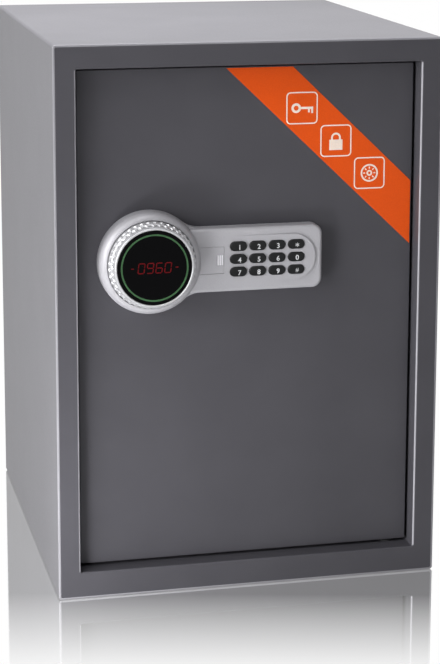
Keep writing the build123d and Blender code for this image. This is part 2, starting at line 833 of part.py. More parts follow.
with BuildPart() as lock_plug:
    with BuildSketch(panel(barrel_back)):
        with Locations((lock_bore_x, 0)):
            Circle(plug_radius)
    extrude(amount=barrel_face - plug_recess - barrel_back)
    with BuildSketch(panel(barrel_back - plug_tail)):
        with Locations((lock_bore_x, 0)):
            Circle(plug_tail_radius)
    extrude(amount=plug_tail)
    with BuildSketch(panel(barrel_face - plug_recess - keyway_depth)):
        with Locations((lock_bore_x, 0)):
            Rectangle(keyway_width, keyway_length)
    extrude(amount=keyway_depth, mode=Mode.SUBTRACT)
lock_plug.part.label = "lock_plug"
export_step(lock_plug.part, "parts/lock_plug.step")

with BuildPart() as release_lever:
    with BuildSketch(panel(barrel_back - plug_tail)):
        with Locations((lock_bore_x, -lever_length / 2)):
            SlotOverall(lever_length + lever_width, lever_width, rotation=90)
        with Locations((lock_bore_x, 0)):
            Circle(plug_tail_radius + screw_fit, mode=Mode.SUBTRACT)
    extrude(amount=lever_thick)
release_lever.part.label = "release_lever"
export_step(release_lever.part, "parts/release_lever.step")

# Knob: a fluted cone with a rim, on a web carried by a hollow shaft in a flanged bush
knob_base = dome_floor + knob_lift
web_top = knob_base + knob_web
sleeve_back = -(cam_back_y - door_face_y)
cone_height = knob_height - knob_rim - knob_base - knob_foot
cone_taper = (knob_radius - knob_neck_radius) / cone_height
groove_z = knob_height - knob_groove_depth
groove_radius = knob_neck_radius + cone_taper * (knob_groove_depth - knob_rim)
with BuildPart() as flute:
    # lies along the cone, in the knob's own frame: x outwards, z away from the door
    with BuildSketch(
        Plane(
            origin=(knob_radius + flute_radius - flute_depth, 0, knob_foot),
            x_dir=(0, 1, 0),
            z_dir=(-cone_taper, 0, 1),
        )
    ):
        Circle(flute_radius)
    extrude(amount=cone_height)
with BuildPart(panel(knob_base)) as knob_ring:
    with BuildSketch(axial):
        with BuildLine():
            Polyline(
                (sleeve_radius + screw_fit, knob_base),
                (knob_radius, knob_base),
                (knob_radius, knob_base + knob_foot),
                (groove_radius + cone_taper * knob_groove / 2, groove_z - knob_groove / 2),
                (groove_radius - flute_depth, groove_z),
                (groove_radius - cone_taper * knob_groove / 2, groove_z + knob_groove / 2),
                (knob_neck_radius, knob_height - knob_rim),
                (knob_rim_radius, knob_height - knob_rim),
                (knob_rim_radius, knob_height - edge_radius),
                (knob_rim_radius - edge_radius, knob_height),
                (knob_bore_radius, knob_height),
                (knob_bore_radius, web_top),
                (sleeve_radius + screw_fit, web_top),
                close=True,
            )
        make_face()
    revolve(axis=knob_axis)
    with PolarLocations(0, knob_flutes):
        add(flute.part, mode=Mode.SUBTRACT)
knob_ring.part.label = "knob_ring"
export_step(knob_ring.part, "parts/knob_ring.step")

sleeve_flange_top = web_top + sleeve_bush_flange
with BuildPart() as spindle_sleeve:
    with BuildSketch(panel(sleeve_back)):
        Circle(sleeve_radius)
    extrude(amount=sleeve_flange_top - sleeve_back)
    with BuildSketch(panel(web_top)):
        Circle(sleeve_radius + cam_thick)
    extrude(amount=sleeve_bush_flange)
    with BuildSketch(panel(sleeve_back)):
        Circle(sleeve_bore_radius)
    extrude(amount=sleeve_flange_top - sleeve_back, mode=Mode.SUBTRACT)
spindle_sleeve.part.label = "spindle_sleeve"
export_step(spindle_sleeve.part, "parts/spindle_sleeve.step")

with BuildPart() as spindle_bush:
    with BuildSketch(panel(-door_thick)):
        Circle(sleeve_bush_radius)
    extrude(amount=door_thick)
    with BuildSketch(panel(0)):
        Circle(sleeve_bush_radius + 2 * sleeve_bush_flange)
    extrude(amount=sleeve_bush_flange)
    with BuildSketch(panel(-door_thick)):
        Circle(sleeve_radius + sleeve_fit)
    extrude(amount=door_thick + sleeve_bush_flange, mode=Mode.SUBTRACT)
spindle_bush.part.label = "spindle_bush"
export_step(spindle_bush.part, "parts/spindle_bush.step")

# Display: a fixed hub through the hollow shaft, its board, the dark lens and the light ring
hub_face = sleeve_flange_top + cam_gap
hub_flange_radius = ring_outer_radius + hub_flange / 2
lens_back = knob_height - lens_thick
hub_back = door_face_y - pan_back_y - hub_nut
with BuildPart() as display_hub:
    with BuildSketch(panel(hub_back)):
        Circle(hub_radius)
    extrude(amount=hub_face - hub_back)
    with BuildSketch(panel(hub_face)):
        Circle(hub_flange_radius)
    extrude(amount=hub_flange)
    with BuildSketch(panel(hub_back)):
        Circle(hub_bore_radius)
    extrude(amount=hub_face + hub_flange - hub_back, mode=Mode.SUBTRACT)
display_hub.part.label = "display_hub"
export_step(display_hub.part, "parts/display_hub.step")

with BuildPart() as hub_nut_ring:
    with BuildSketch(panel(hub_back)):
        RegularPolygon(2 * hub_radius, 6)
        Circle(hub_radius + screw_fit, mode=Mode.SUBTRACT)
    extrude(amount=hub_nut)
hub_nut_ring.part.label = "hub_nut"
export_step(hub_nut_ring.part, "parts/hub_nut.step")

with BuildPart() as display_board:
    with BuildSketch(panel(hub_face + hub_flange)):
        Circle(ring_outer_radius - ring_width - hub_flange)
    extrude(amount=board_thick)
    with BuildSketch(panel(hub_face + hub_flange + board_thick)):
        Rectangle(display_width, display_height)
    extrude(amount=lens_back - hub_face - hub_flange - board_thick - lens_gap)
display_board.part.label = "display_board"
export_step(display_board.part, "parts/display_board.step")

with BuildPart() as display_lens:
    with BuildSketch(panel(lens_back)):
        Circle(knob_bore_radius - lens_gap)
    extrude(amount=lens_thick)
    chamfer(display_lens.edges().group_by(Axis.Y)[0], lens_gap)
    with BuildSketch(panel(hub_face + hub_flange)):
        Circle(hub_flange_radius)
        Circle(ring_outer_radius - ring_width, mode=Mode.SUBTRACT)
    extrude(amount=lens_back - hub_face - hub_flange)
    with BuildSketch(panel(knob_height - ring_depth)):
        Circle(ring_outer_radius)
        Circle(ring_outer_radius - ring_width, mode=Mode.SUBTRACT)
    extrude(amount=ring_depth, mode=Mode.SUBTRACT)
display_lens.part.label = "display_lens"
export_step(display_lens.part, "parts/display_lens.step")

with BuildPart() as light_ring:
    with BuildSketch(panel(knob_height - ring_depth)):
        Circle(ring_outer_radius)
        Circle(ring_outer_radius - ring_width, mode=Mode.SUBTRACT)
    extrude(amount=ring_depth)
light_ring.part.label = "light_ring"
export_step(light_ring.part, "parts/light_ring.step")

# Cam on the shaft's inner end; its pin moves the carriage
pin_x = crank * math.sin(math.radians(turn_half))
pin_low_z = crank * math.cos(math.radians(turn_half))
with BuildPart() as drive_cam:
    with BuildSketch(facing(cam_back_y)):
        with Locations((lock_x, lock_z)):
            Circle(cam_hub_radius)
        with Locations((lock_x + pin_x, lock_z + pin_low_z)):
            Circle(2 * cam_pin_radius)
        make_hull()
        with Locations((lock_x, lock_z)):
            Circle(sleeve_radius + screw_fit, mode=Mode.SUBTRACT)
    extrude(amount=cam_thick)
    with BuildSketch(facing(carriage_back_y + carriage_thick / 2)):
        with Locations((lock_x + pin_x, lock_z + pin_low_z)):
            Circle(cam_pin_radius)
    extrude(amount=carriage_back_y + carriage_thick / 2 - cam_back_y)
drive_cam.part.label = "drive_cam"
export_step(drive_cam.part, "parts/drive_cam.step")

# Bolt carriage: a slotted plate with an ear for each bolt
carriage_left = lock_x - carriage_reach
carriage_right = carriage_left + carriage_width
with BuildPart() as bolt_carriage:
    with BuildSketch(facing(carriage_back_y)) as plate_outline:
        with Locations((middle(carriage_left, carriage_right), lock_z)):
            Rectangle(carriage_width, 2 * (bolt_spacing + carriage_end))
        fillet(
            [corner for corner in plate_outline.vertices() if corner.X > carriage_left + ear_thick],
            carriage_corner,
        )
        with Locations((lock_x + bolt_throw / 2, lock_z)):
            SlotOverall(
                2 * (hub_radius + slide_clearance) + bolt_throw,
                2 * (hub_radius + slide_clearance),
                mode=Mode.SUBTRACT,
            )
        with Locations((lock_x + pin_x, lock_z + middle(pin_low_z, crank))):
            SlotOverall(
                crank - pin_low_z + 2 * (cam_pin_radius + 2 * slide_clearance),
                2 * (cam_pin_radius + slide_clearance),
                rotation=90,
                mode=Mode.SUBTRACT,
            )
        with Locations(*[(x + bolt_throw / 2, z) for x, z in post_places]):
            SlotOverall(
                2 * (post_radius + slide_clearance) + bolt_throw,
                2 * (post_radius + slide_clearance),
                mode=Mode.SUBTRACT,
            )
    extrude(amount=carriage_thick)
    with BuildSketch(Plane.YZ.offset(carriage_left)):
        for step in (-1, 0, 1):
            with Locations((middle(carriage_back_y, bolt_y + bolt_radius), lock_z + step * bolt_spacing)):
                Rectangle(bolt_y + bolt_radius - carriage_back_y, 2 * bolt_radius)
    extrude(amount=ear_thick)
bolt_carriage.part.label = "bolt_carriage"
export_step(bolt_carriage.part, "parts/bolt_carriage.step")

# Latch on the carriage: an arm over the solenoid, with a finger that its raised plunger stops
solenoid_x = carriage_right + solenoid_gap + solenoid_width / 2
finger_left = solenoid_x + plunger_radius + latch_clearance
finger_right = finger_left + latch_finger
finger_tip = lock_z - latch_drop
latch_top = finger_tip + latch_height
arm_bottom = finger_tip + plunger_stroke - plunger_gap + 2 * latch_clearance
arm_left = carriage_right - latch_overlap
latch_back_y = carriage_back_y + carriage_thick
with BuildPart() as carriage_latch:
    with BuildSketch(facing(latch_back_y)):
        with Locations((middle(arm_left, finger_right), middle(arm_bottom, latch_top))):
            Rectangle(finger_right - arm_left, latch_top - arm_bottom)
        with Locations((middle(finger_left, finger_right), middle(finger_tip, latch_top))):
            Rectangle(latch_finger, latch_height)
    extrude(amount=carriage_thick)
carriage_latch.part.label = "carriage_latch"
export_step(carriage_latch.part, "parts/carriage_latch.step")

bolt_start = pan_left - bolt_proud
with BuildPart() as live_bolts:
    with BuildSketch(Plane.YZ.offset(bolt_start)):
        with Locations(
            (bolt_y, lock_z - bolt_spacing), (bolt_y, lock_z), (bolt_y, lock_z + bolt_spacing)
        ):
            Circle(bolt_radius)
    extrude(amount=carriage_left - bolt_start)
    chamfer(live_bolts.edges().group_by(Axis.X)[0], bolt_tip)
live_bolts.part.label = "live_bolts"
export_step(live_bolts.part, "parts/live_bolts.step")

# Shouldered posts that guide the carriage
with BuildPart() as guide_posts:
    with BuildSketch(facing(carriage_front_y - slide_clearance)):
        with Locations(*post_places):
            Circle(post_shoulder_radius)
    extrude(amount=carriage_front_y - slide_clearance - door_back_y)
    with BuildSketch(facing(carriage_back_y + slide_clearance)):
        with Locations(*post_places):
            Circle(post_radius)
    extrude(amount=carriage_thick + 2 * slide_clearance)
    with BuildSketch(facing(carriage_back_y + slide_clearance + post_head)):
        with Locations(*post_places):
            Circle(post_shoulder_radius)
    extrude(amount=post_head)
guide_posts.part.label = "guide_posts"
export_step(guide_posts.part, "parts/guide_posts.step")

# Solenoid on its bracket, with a plunger that rises beside the latch's finger
plunger_y = middle(carriage_back_y, latch_back_y)
plunger_top = finger_tip - plunger_gap
solenoid_top = plunger_top - plunger_stroke - solenoid_gap
solenoid_bottom = solenoid_top - solenoid_height
solenoid_front_y = door_back_y + bracket_sheet
solenoid_depth = 2 * (plunger_y - solenoid_front_y)
with BuildPart() as solenoid_bracket:
    with BuildSketch(facing(solenoid_front_y)):
        with Locations((solenoid_x, solenoid_bottom + solenoid_height / 2)):
            Rectangle(solenoid_width, solenoid_height + 2 * bracket_sheet)
    extrude(amount=bracket_sheet)
    with BuildSketch(facing(solenoid_front_y + solenoid_depth)):
        with Locations((solenoid_x, solenoid_bottom - bracket_sheet / 2)):
            Rectangle(solenoid_width, bracket_sheet)
    extrude(amount=solenoid_depth)
solenoid_bracket.part.label = "solenoid_bracket"
export_step(solenoid_bracket.part, "parts/solenoid_bracket.step")

with BuildPart() as solenoid_body:
    with BuildSketch(Plane.XY.offset(solenoid_bottom)):
        with Locations((solenoid_x, plunger_y)):
            RectangleRounded(solenoid_width, solenoid_depth, bracket_sheet)
    extrude(amount=solenoid_height)
    with BuildSketch(Plane.XY.offset(solenoid_bottom + bracket_sheet)):
        with Locations((solenoid_x, plunger_y)):
            Circle(plunger_radius + plunger_clearance)
    extrude(amount=solenoid_height, mode=Mode.SUBTRACT)
solenoid_body.part.label = "solenoid_body"
export_step(solenoid_body.part, "parts/solenoid_body.step")

with BuildPart() as solenoid_plunger:
    with BuildSketch(Plane.XY.offset(solenoid_bottom + bracket_sheet + plunger_clearance)):
        with Locations((solenoid_x, plunger_y)):
            Circle(plunger_radius)
    extrude(amount=plunger_top - solenoid_bottom - bracket_sheet - plunger_clearance)
    chamfer(solenoid_plunger.edges().group_by(Axis.Z)[-1], pin_tip)
solenoid_plunger.part.label = "solenoid_plunger"
export_step(solenoid_plunger.part, "parts/solenoid_plunger.step")

# Battery box set through the inner cover, with two rails for its sliding lid
box_half = battery_box_width / 2
box_half_height = battery_box_height / 2
box_front_y = pan_back_y - 2 * battery_radius - 2 * battery_fit - battery_box_wall
lid_half = box_half + lid_overlap
lid_half_height = box_half_height + lid_overlap
rail_half = lid_half + lid_gap + lid_rail
flange_back_y = pan_back_y + box_flange
lid_front_y = flange_back_y + battery_fit
lid_step_y = lid_front_y + lid_sheet
lid_back_y = lid_step_y + lid_face
with BuildPart() as battery_case:
    with BuildSketch(facing(flange_back_y)):
        with Locations((battery_box_x, battery_box_z)):
            Rectangle(2 * rail_half, 2 * (lid_half_height + lid_rail))
    extrude(amount=box_flange)
    for side in (-1, 1):
        with BuildSketch(facing(lid_back_y)):
            with Locations((battery_box_x + side * (rail_half - lid_rail / 2), battery_box_z)):
                Rectangle(lid_rail, 2 * (lid_half_height + lid_rail))
        extrude(amount=lid_back_y - flange_back_y)
        with BuildSketch(facing(lid_back_y)):
            with Locations((battery_box_x + side * (lid_half + lid_gap - lid_step / 2), battery_box_z)):
                Rectangle(lid_step, 2 * (lid_half_height + lid_rail))
        extrude(amount=lid_lip)
    with BuildSketch(facing(lid_back_y)):
        with Locations((battery_box_x, battery_box_z - lid_half_height - lid_gap - lid_rail / 2)):
            Rectangle(2 * rail_half, lid_rail - lid_gap / 2)
    extrude(amount=lid_back_y - flange_back_y)
    with BuildSketch(facing(pan_back_y)):
        with Locations((battery_box_x, battery_box_z)):
            Rectangle(battery_box_width, battery_box_height)
    extrude(amount=pan_back_y - box_front_y)
    with BuildSketch(facing(flange_back_y)):
        with Locations((battery_box_x, battery_box_z)):
            Rectangle(
                battery_box_width - 2 * battery_box_wall, battery_box_height - 2 * battery_box_wall
            )
    extrude(amount=flange_back_y - box_front_y - battery_box_wall, mode=Mode.SUBTRACT)
battery_case.part.label = "battery_case"
export_step(battery_case.part, "parts/battery_case.step")

battery_y = box_front_y + battery_box_wall + battery_fit + battery_radius
battery_reach = box_half - battery_box_wall - contact_sheet
battery_rows = [battery_pitch * (row - (battery_count - 1) / 2) for row in range(battery_count)]
with BuildPart() as batteries:
    for row, height in enumerate(battery_rows):
        side = 1 if row % 2 == 0 else -1
        with BuildSketch(Plane.YZ.offset(battery_box_x + side * battery_reach)):
            with Locations((battery_y, battery_box_z + height)):
                Circle(battery_cap_radius)
        extrude(amount=-side * battery_cap)
        with BuildSketch(Plane.YZ.offset(battery_box_x + side * (battery_reach - battery_cap))):
            with Locations((battery_y, battery_box_z + height)):
                Circle(battery_radius)
        extrude(amount=-side * battery_length)
batteries.part.label = "batteries"
export_step(batteries.part, "parts/batteries.step")

spring_length = 2 * battery_reach - battery_length - battery_cap
with BuildPart() as battery_contacts:
    for side in (-1, 1):
        with BuildSketch(Plane.YZ.offset(battery_box_x + side * (battery_reach + contact_sheet))):
            with Locations((battery_y, battery_box_z)):
                Rectangle(2 * battery_radius - battery_fit, battery_box_height - 2 * battery_box_wall)
        extrude(amount=-side * contact_sheet)
    for row, height in enumerate(battery_rows):
        side = -1 if row % 2 == 0 else 1
        with BuildSketch(Plane.YZ.offset(battery_box_x + side * battery_reach)):
            with Locations((battery_y, battery_box_z + height)):
                Circle(spring_radius)
        with BuildSketch(Plane.YZ.offset(battery_box_x + side * (battery_reach - spring_length))):
            with Locations((battery_y, battery_box_z + height)):
                Circle(spring_radius / 2)
        loft()
battery_contacts.part.label = "battery_contacts"
export_step(battery_contacts.part, "parts/battery_contacts.step")

with BuildPart() as battery_lid:
    with BuildSketch(facing(lid_step_y)):
        with Locations((battery_box_x, battery_box_z)):
            Rectangle(2 * lid_half, 2 * lid_half_height)
    extrude(amount=lid_sheet)
    with BuildSketch(facing(lid_back_y)):
        with Locations((battery_box_x, battery_box_z)):
            Rectangle(2 * (lid_half - lid_step), 2 * lid_half_height)
    extrude(amount=lid_face)
    with BuildSketch(facing(lid_back_y)):
        with Locations((battery_box_x, battery_box_z - lid_half_height / 2)):
            with GridLocations(lid_groove_length, lid_groove_pitch, 1, lid_grooves):
                Rectangle(lid_groove_length, lid_groove_width)
    extrude(amount=lid_groove_depth, mode=Mode.SUBTRACT)
battery_lid.part.label = "battery_lid"
export_step(battery_lid.part, "parts/battery_lid.step")

# Control board on the inner cover's posts, the reset switch and its red button
with BuildPart() as control_board:
    with BuildSketch(facing(control_back_y)):
        with Locations((battery_box_x, reset_z)):
            Rectangle(control_width, control_height)
    extrude(amount=board_thick)
control_board.part.label = "control_board"
export_step(control_board.part, "parts/control_board.step")

with BuildPart() as reset_switch:
    with BuildSketch(facing(switch_face_y)):
        with Locations((battery_box_x, reset_z)):
            Rectangle(switch_side, switch_side)
    extrude(amount=switch_face_y - control_back_y)
reset_switch.part.label = "reset_switch"
export_step(reset_switch.part, "parts/reset_switch.step")

button_back_y = switch_face_y + reset_travel + reset_gap
with BuildPart() as reset_button:
    with BuildSketch(facing(pan_back_y + reset_proud)):
        with Locations((battery_box_x, reset_z)):
            Circle(reset_radius)
    extrude(amount=pan_back_y + reset_proud - button_back_y)
    chamfer(reset_button.edges().group_by(Axis.Y)[-1], key_round)
    with BuildSketch(facing(pan_back_y - pan_sheet - reset_gap)):
        with Locations((battery_box_x, reset_z)):
            Circle(reset_radius + reset_proud)
    extrude(amount=pan_back_y - pan_sheet - reset_gap - button_back_y)
reset_button.part.label = "reset_button"
export_step(reset_button.part, "parts/reset_button.step")

# Printed band stuck across the door's upper corner
band_top = door_top - door_edge_radius - band_margin
band_right = door_half - door_edge_radius - band_margin


def band_x(reach):
    # where an edge of the band meets its top end
    return opening_half - (reach - opening_top + band_top) * band_lean


def band_z(reach):
    # where an edge of the band meets its right end
    return opening_top - reach + (opening_half - band_right) / band_lean


with BuildPart() as door_band:
    with BuildSketch(facing(door_face_y)):
        with BuildLine():
            Polyline(
                (band_x(band_inner), band_top),
                (band_x(band_outer), band_top),
                (band_right, band_z(band_outer)),
                (band_right, band_z(band_inner)),
                close=True,
            )
        make_face()
    extrude(amount=band_thick)
door_band.part.label = "door_band"
export_step(door_band.part, "parts/door_band.step")
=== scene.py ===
# Electronic safe: finishes, studded knob, printed figures, studio and camera
import bpy
import bmesh
import json
import math
from mathutils import Matrix, Vector


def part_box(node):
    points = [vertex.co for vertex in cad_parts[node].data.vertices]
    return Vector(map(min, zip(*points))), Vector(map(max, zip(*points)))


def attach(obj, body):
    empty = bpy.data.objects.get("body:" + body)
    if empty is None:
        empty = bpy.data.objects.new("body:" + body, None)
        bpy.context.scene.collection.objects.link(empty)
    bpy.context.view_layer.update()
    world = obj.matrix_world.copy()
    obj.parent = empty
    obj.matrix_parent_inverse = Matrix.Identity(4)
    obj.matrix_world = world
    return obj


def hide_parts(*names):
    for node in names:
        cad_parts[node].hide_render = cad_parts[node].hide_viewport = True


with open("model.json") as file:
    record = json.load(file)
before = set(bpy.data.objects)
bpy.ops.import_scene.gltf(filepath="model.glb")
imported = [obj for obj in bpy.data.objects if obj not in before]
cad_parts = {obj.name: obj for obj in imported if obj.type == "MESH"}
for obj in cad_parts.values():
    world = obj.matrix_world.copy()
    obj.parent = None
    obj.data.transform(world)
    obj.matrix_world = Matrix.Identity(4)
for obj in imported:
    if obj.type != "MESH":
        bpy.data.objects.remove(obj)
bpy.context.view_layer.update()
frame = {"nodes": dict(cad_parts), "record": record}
nodes = frame["nodes"]
bodyOf = {node: body for body, names in frame["record"]["behaviour"]["bodies"].items() for node in names}
print("frame loaded:", len(nodes), "nodes")

mm = 0.001
mergeReach = 0.001 * mm      # vertices nearer than this are one

# The lens and the knob's axis, read from the frame
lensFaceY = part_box("display_lens")[0].y
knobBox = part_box("knob_ring")
knobX = (knobBox[0].x + knobBox[1].x) / 2
knobZ = (knobBox[0].z + knobBox[1].z) / 2


# Materials: each finish has its sizes in a dictionary beside its function. Real grain, flake, fibre
# and tool marks are finer than a pixel, so they are drawn as wide as they need to be to show

noiseSpan = (0.3, 0.7)      # where the colour ramps start and end, since noise seldom goes further


def linearColour(hexText):
    # sRGB hex to the linear colour that the shader wants
    channels = [int(hexText[i:i + 2], 16) / 255 for i in (1, 3, 5)]
    return [c / 12.92 if c <= 0.04045 else ((c + 0.055) / 1.055) ** 2.4 for c in channels] + [1.0]


def setInputs(tree, node, inputs):
    # an input is a value, a socket to link, or a node whose first live output is linked
    for key, value in inputs.items():
        if isinstance(value, bpy.types.Node):
            value = next(socket for socket in value.outputs if socket.enabled)
        if isinstance(value, bpy.types.NodeSocket):
            tree.links.new(value, node.inputs[key])
        else:
            node.inputs[key].default_value = value


def addNode(tree, kind, inputs=None, stops=(), **settings):
    # one shader or geometry node: settings are its properties, stops are a colour ramp's places and colours
    node = tree.nodes.new(kind)
    for key, value in settings.items():
        setattr(node, key, value)
    for i, (position, colour) in enumerate(stops):
        node.color_ramp.elements[i].position = position
        node.color_ramp.elements[i].color = linearColour(colour)
    setInputs(tree, node, inputs or {})
    return node


def newMaterial(name):
    # an empty tree with a Principled shader, its output and Object coordinates
    material = bpy.data.materials.new(name)
    material.use_nodes = True
    tree = material.node_tree
    tree.nodes.clear()
    shader = addNode(tree, "ShaderNodeBsdfPrincipled")
    addNode(tree, "ShaderNodeOutputMaterial", {"Surface": shader})
    place = addNode(tree, "ShaderNodeTexCoord").outputs["Object"]
    return material, tree, shader, place


# sizes of the pale lines painted as highlights on the folds
foldHighlights = {
    "wrapEdge": 0.5 * mm,      # of the painted highlight on the wrap's front edge, pale all over
    "doorGap": 2.5 * mm,       # from the door to the lining of its opening
    "halfLine": 0.7 * mm,      # of the painted highlight line along the opening
    "ends": 1.5 * mm,          # where that line fades out, short of the corners
    "fade": 1.0 * mm,
}


def wrapEdgeHighlight(tree, place):
    # 1 on the softened front edge of the wrap, where a pale highlight is painted, 0 behind it
    y = addNode(tree, "ShaderNodeSeparateXYZ", {"Vector": place}).outputs["Y"]
    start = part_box("cabinet_wrap")[0].y + foldHighlights["wrapEdge"]
    return addNode(
        tree, "ShaderNodeMapRange",
        {"Value": y, "From Min": start, "From Max": start + foldHighlights["fade"], "To Min": 1.0, "To Max": 0.0}
    )


def openingFoldHighlight(tree, place):
    # 1 on the folds at the sides of the door opening, along its outline and at the frame's face, where a
    # pale highlight is painted
    low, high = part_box("door_plate")
    middle = (low + high) / 2
    parts = addNode(tree, "ShaderNodeSeparateXYZ", {"Vector": place}).outputs
    outside = []
    for axis, centre, end in (("X", middle.x, high.x), ("Z", middle.z, high.z)):
        offset = addNode(tree, "ShaderNodeMath", {0: parts[axis], 1: centre}, operation="SUBTRACT")
        distance = addNode(tree, "ShaderNodeMath", {0: offset}, operation="ABSOLUTE")
        reach = end - centre + foldHighlights["doorGap"]
        outside.append(addNode(tree, "ShaderNodeMath", {0: distance, 1: reach}, operation="SUBTRACT"))
    across = addNode(tree, "ShaderNodeMath", {0: outside[0]}, operation="ABSOLUTE")
    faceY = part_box("front_frame")[0].y + foldHighlights["halfLine"]
    share = 1.0
    for value, start, end in (
        (across, foldHighlights["halfLine"], foldHighlights["halfLine"] + foldHighlights["fade"]),
        (outside[1], -foldHighlights["ends"], 0.0),
        (parts["Y"], faceY, faceY + foldHighlights["fade"]),
    ):
        near = addNode(
            tree, "ShaderNodeMapRange",
            {"Value": value, "From Min": start, "From Max": end, "To Min": 1.0, "To Max": 0.0}
        )
        share = addNode(tree, "ShaderNodeMath", {0: share, 1: near}, operation="MULTIPLY")
    return share


powder = {
    "grain": 0.9 * mm,         # real grain is about 0.3 mm
    "grainDeep": 0.03 * mm,
    "peel": 4.0 * mm,
    "peelDeep": 0.02 * mm,
    "bump": 0.5,
    "cloud": 60.0 * mm,
    "cloudDetail": 3.0,
    "uneven": 0.06,            # of the roughness, up and down
}


def powderCoat(name, darkHex, lightHex, roughness, specular, edge=None, highlightHex=None):
    # baked powder on steel sheet: even and matt, with the fine orange peel that breaks up highlights.
    # Along a fold, which edge finds, the colour is mixed towards a pale painted highlight
    material, tree, shader, place = newMaterial(name)
    grain = addNode(tree, "ShaderNodeTexNoise", {"Vector": place, "Scale": 1 / powder["grain"]})
    peel = addNode(tree, "ShaderNodeTexNoise", {"Vector": place, "Scale": 1 / powder["peel"]})
    cloud = addNode(
        tree, "ShaderNodeTexNoise",
        {"Vector": place, "Scale": 1 / powder["cloud"], "Detail": powder["cloudDetail"]}
    )
    colour = addNode(tree, "ShaderNodeValToRGB", {"Fac": cloud}, zip(noiseSpan, (darkHex, lightHex)))
    if edge:
        # the Mix node's colour sockets have no names of their own: 6 and 7 are its two colours
        colour = addNode(
            tree, "ShaderNodeMix", {"Factor": edge(tree, place), 6: colour, 7: linearColour(highlightHex)},
            data_type="RGBA"
        )
    matt = addNode(
        tree, "ShaderNodeMapRange",
        {"Value": grain, "To Min": roughness - powder["uneven"], "To Max": roughness + powder["uneven"]}
    )
    grainBump = addNode(
        tree, "ShaderNodeBump",
        {"Height": grain, "Distance": powder["grainDeep"], "Strength": powder["bump"]}
    )
    bump = addNode(
        tree, "ShaderNodeBump",
        {"Height": peel, "Distance": powder["peelDeep"], "Strength": powder["bump"], "Normal": grainBump}
    )
    setInputs(tree, shader, {
        "Base Color": colour, "Roughness": matt, "Normal": bump, "Specular IOR Level": specular
    })
    return material


silver = {
    "flake": 0.35 * mm,        # real flake is about 0.05 mm
    "flakeDetail": 1.0,
    "flakeDeep": 0.004 * mm,
    "bump": 0.3,
    "roughness": (0.38, 0.50),
    "metallic": 0.15,
    "ior": 1.5,
    "coat": 0.1,
    "coatRoughness": 0.3,
}


def silverPaint(name, darkHex, lightHex):
    # moulded ABS sprayed silver: a satin skin with fine flake that sparkles a little
    material, tree, shader, place = newMaterial(name)
    flake = addNode(
        tree, "ShaderNodeTexNoise",
        {"Vector": place, "Scale": 1 / silver["flake"], "Detail": silver["flakeDetail"]}
    )
    colour = addNode(tree, "ShaderNodeValToRGB", {"Fac": flake}, zip(noiseSpan, (darkHex, lightHex)))
    smooth, rough = silver["roughness"]
    satin = addNode(tree, "ShaderNodeMapRange", {"Value": flake, "To Min": smooth, "To Max": rough})
    bump = addNode(
        tree, "ShaderNodeBump",
        {"Height": flake, "Distance": silver["flakeDeep"], "Strength": silver["bump"]}
    )
    setInputs(tree, shader, {
        "Base Color": colour, "Roughness": satin, "Normal": bump, "Metallic": silver["metallic"],
        "IOR": silver["ior"], "Coat Weight": silver["coat"], "Coat Roughness": silver["coatRoughness"]
    })
    return material


turned = {
    "ring": 0.25 * mm,         # real tool marks are about 0.1 mm apart
    "ringDetail": 1.0,
    "ringDeep": 0.003 * mm,
    "bump": 0.4,
    "colours": ("#bdbdc0", "#c9c9cc"),
    "roughness": (0.32, 0.42),
    "metallic": 0.6,
}


def turnedAluminium(name):
    # satin aluminium from the lathe: fine rings round the knob's axis
    material, tree, shader, place = newMaterial(name)
    centred = addNode(tree, "ShaderNodeMapping", {"Vector": place, "Location": (-knobX, 0, -knobZ)})
    parts = addNode(tree, "ShaderNodeSeparateXYZ", {"Vector": centred}).outputs
    flat = addNode(tree, "ShaderNodeCombineXYZ", {"X": parts["X"], "Y": parts["Z"]})
    radius = addNode(tree, "ShaderNodeVectorMath", {0: flat}, operation="LENGTH")
    rings = addNode(
        tree, "ShaderNodeTexNoise",
        {"W": radius, "Scale": 1 / turned["ring"], "Detail": turned["ringDetail"]}, noise_dimensions="1D"
    )
    colour = addNode(tree, "ShaderNodeValToRGB", {"Fac": rings}, zip(noiseSpan, turned["colours"]))
    smooth, rough = turned["roughness"]
    satin = addNode(tree, "ShaderNodeMapRange", {"Value": rings, "To Min": smooth, "To Max": rough})
    bump = addNode(
        tree, "ShaderNodeBump",
        {"Height": rings, "Distance": turned["ringDeep"], "Strength": turned["bump"]}
    )
    setInputs(tree, shader, {
        "Base Color": colour, "Roughness": satin, "Normal": bump, "Metallic": turned["metallic"]
    })
    return material


smoked = {
    "smear": 12.0 * mm,
    "colour": "#030304",
    "roughness": (0.08, 0.14),
    "specular": 0.05,
}


def smokedLens(name):
    # polished acrylic over a black print: deep black with a clean, weak reflection
    material, tree, shader, place = newMaterial(name)
    smear = addNode(tree, "ShaderNodeTexNoise", {"Vector": place, "Scale": 1 / smoked["smear"]})
    smooth, rough = smoked["roughness"]
    gloss = addNode(tree, "ShaderNodeMapRange", {"Value": smear, "To Min": smooth, "To Max": rough})
    setInputs(tree, shader, {
        "Base Color": linearColour(smoked["colour"]), "Roughness": gloss,
        "Specular IOR Level": smoked["specular"]
    })
    return material


guide = {
    "shade": 3.0 * mm,
    "roughness": 0.35,
    "specular": 0.05,
}


def lightGuide(name, darkHex, lightHex, glow):
    # tinted light guide, lit from behind, a little uneven along its length
    material, tree, shader, place = newMaterial(name)
    shade = addNode(tree, "ShaderNodeTexNoise", {"Vector": place, "Scale": 1 / guide["shade"]})
    colour = addNode(tree, "ShaderNodeValToRGB", {"Fac": shade}, zip(noiseSpan, (darkHex, lightHex)))
    setInputs(tree, shader, {
        "Base Color": colour, "Roughness": guide["roughness"], "Specular IOR Level": guide["specular"],
        "Emission Color": colour, "Emission Strength": glow
    })
    return material


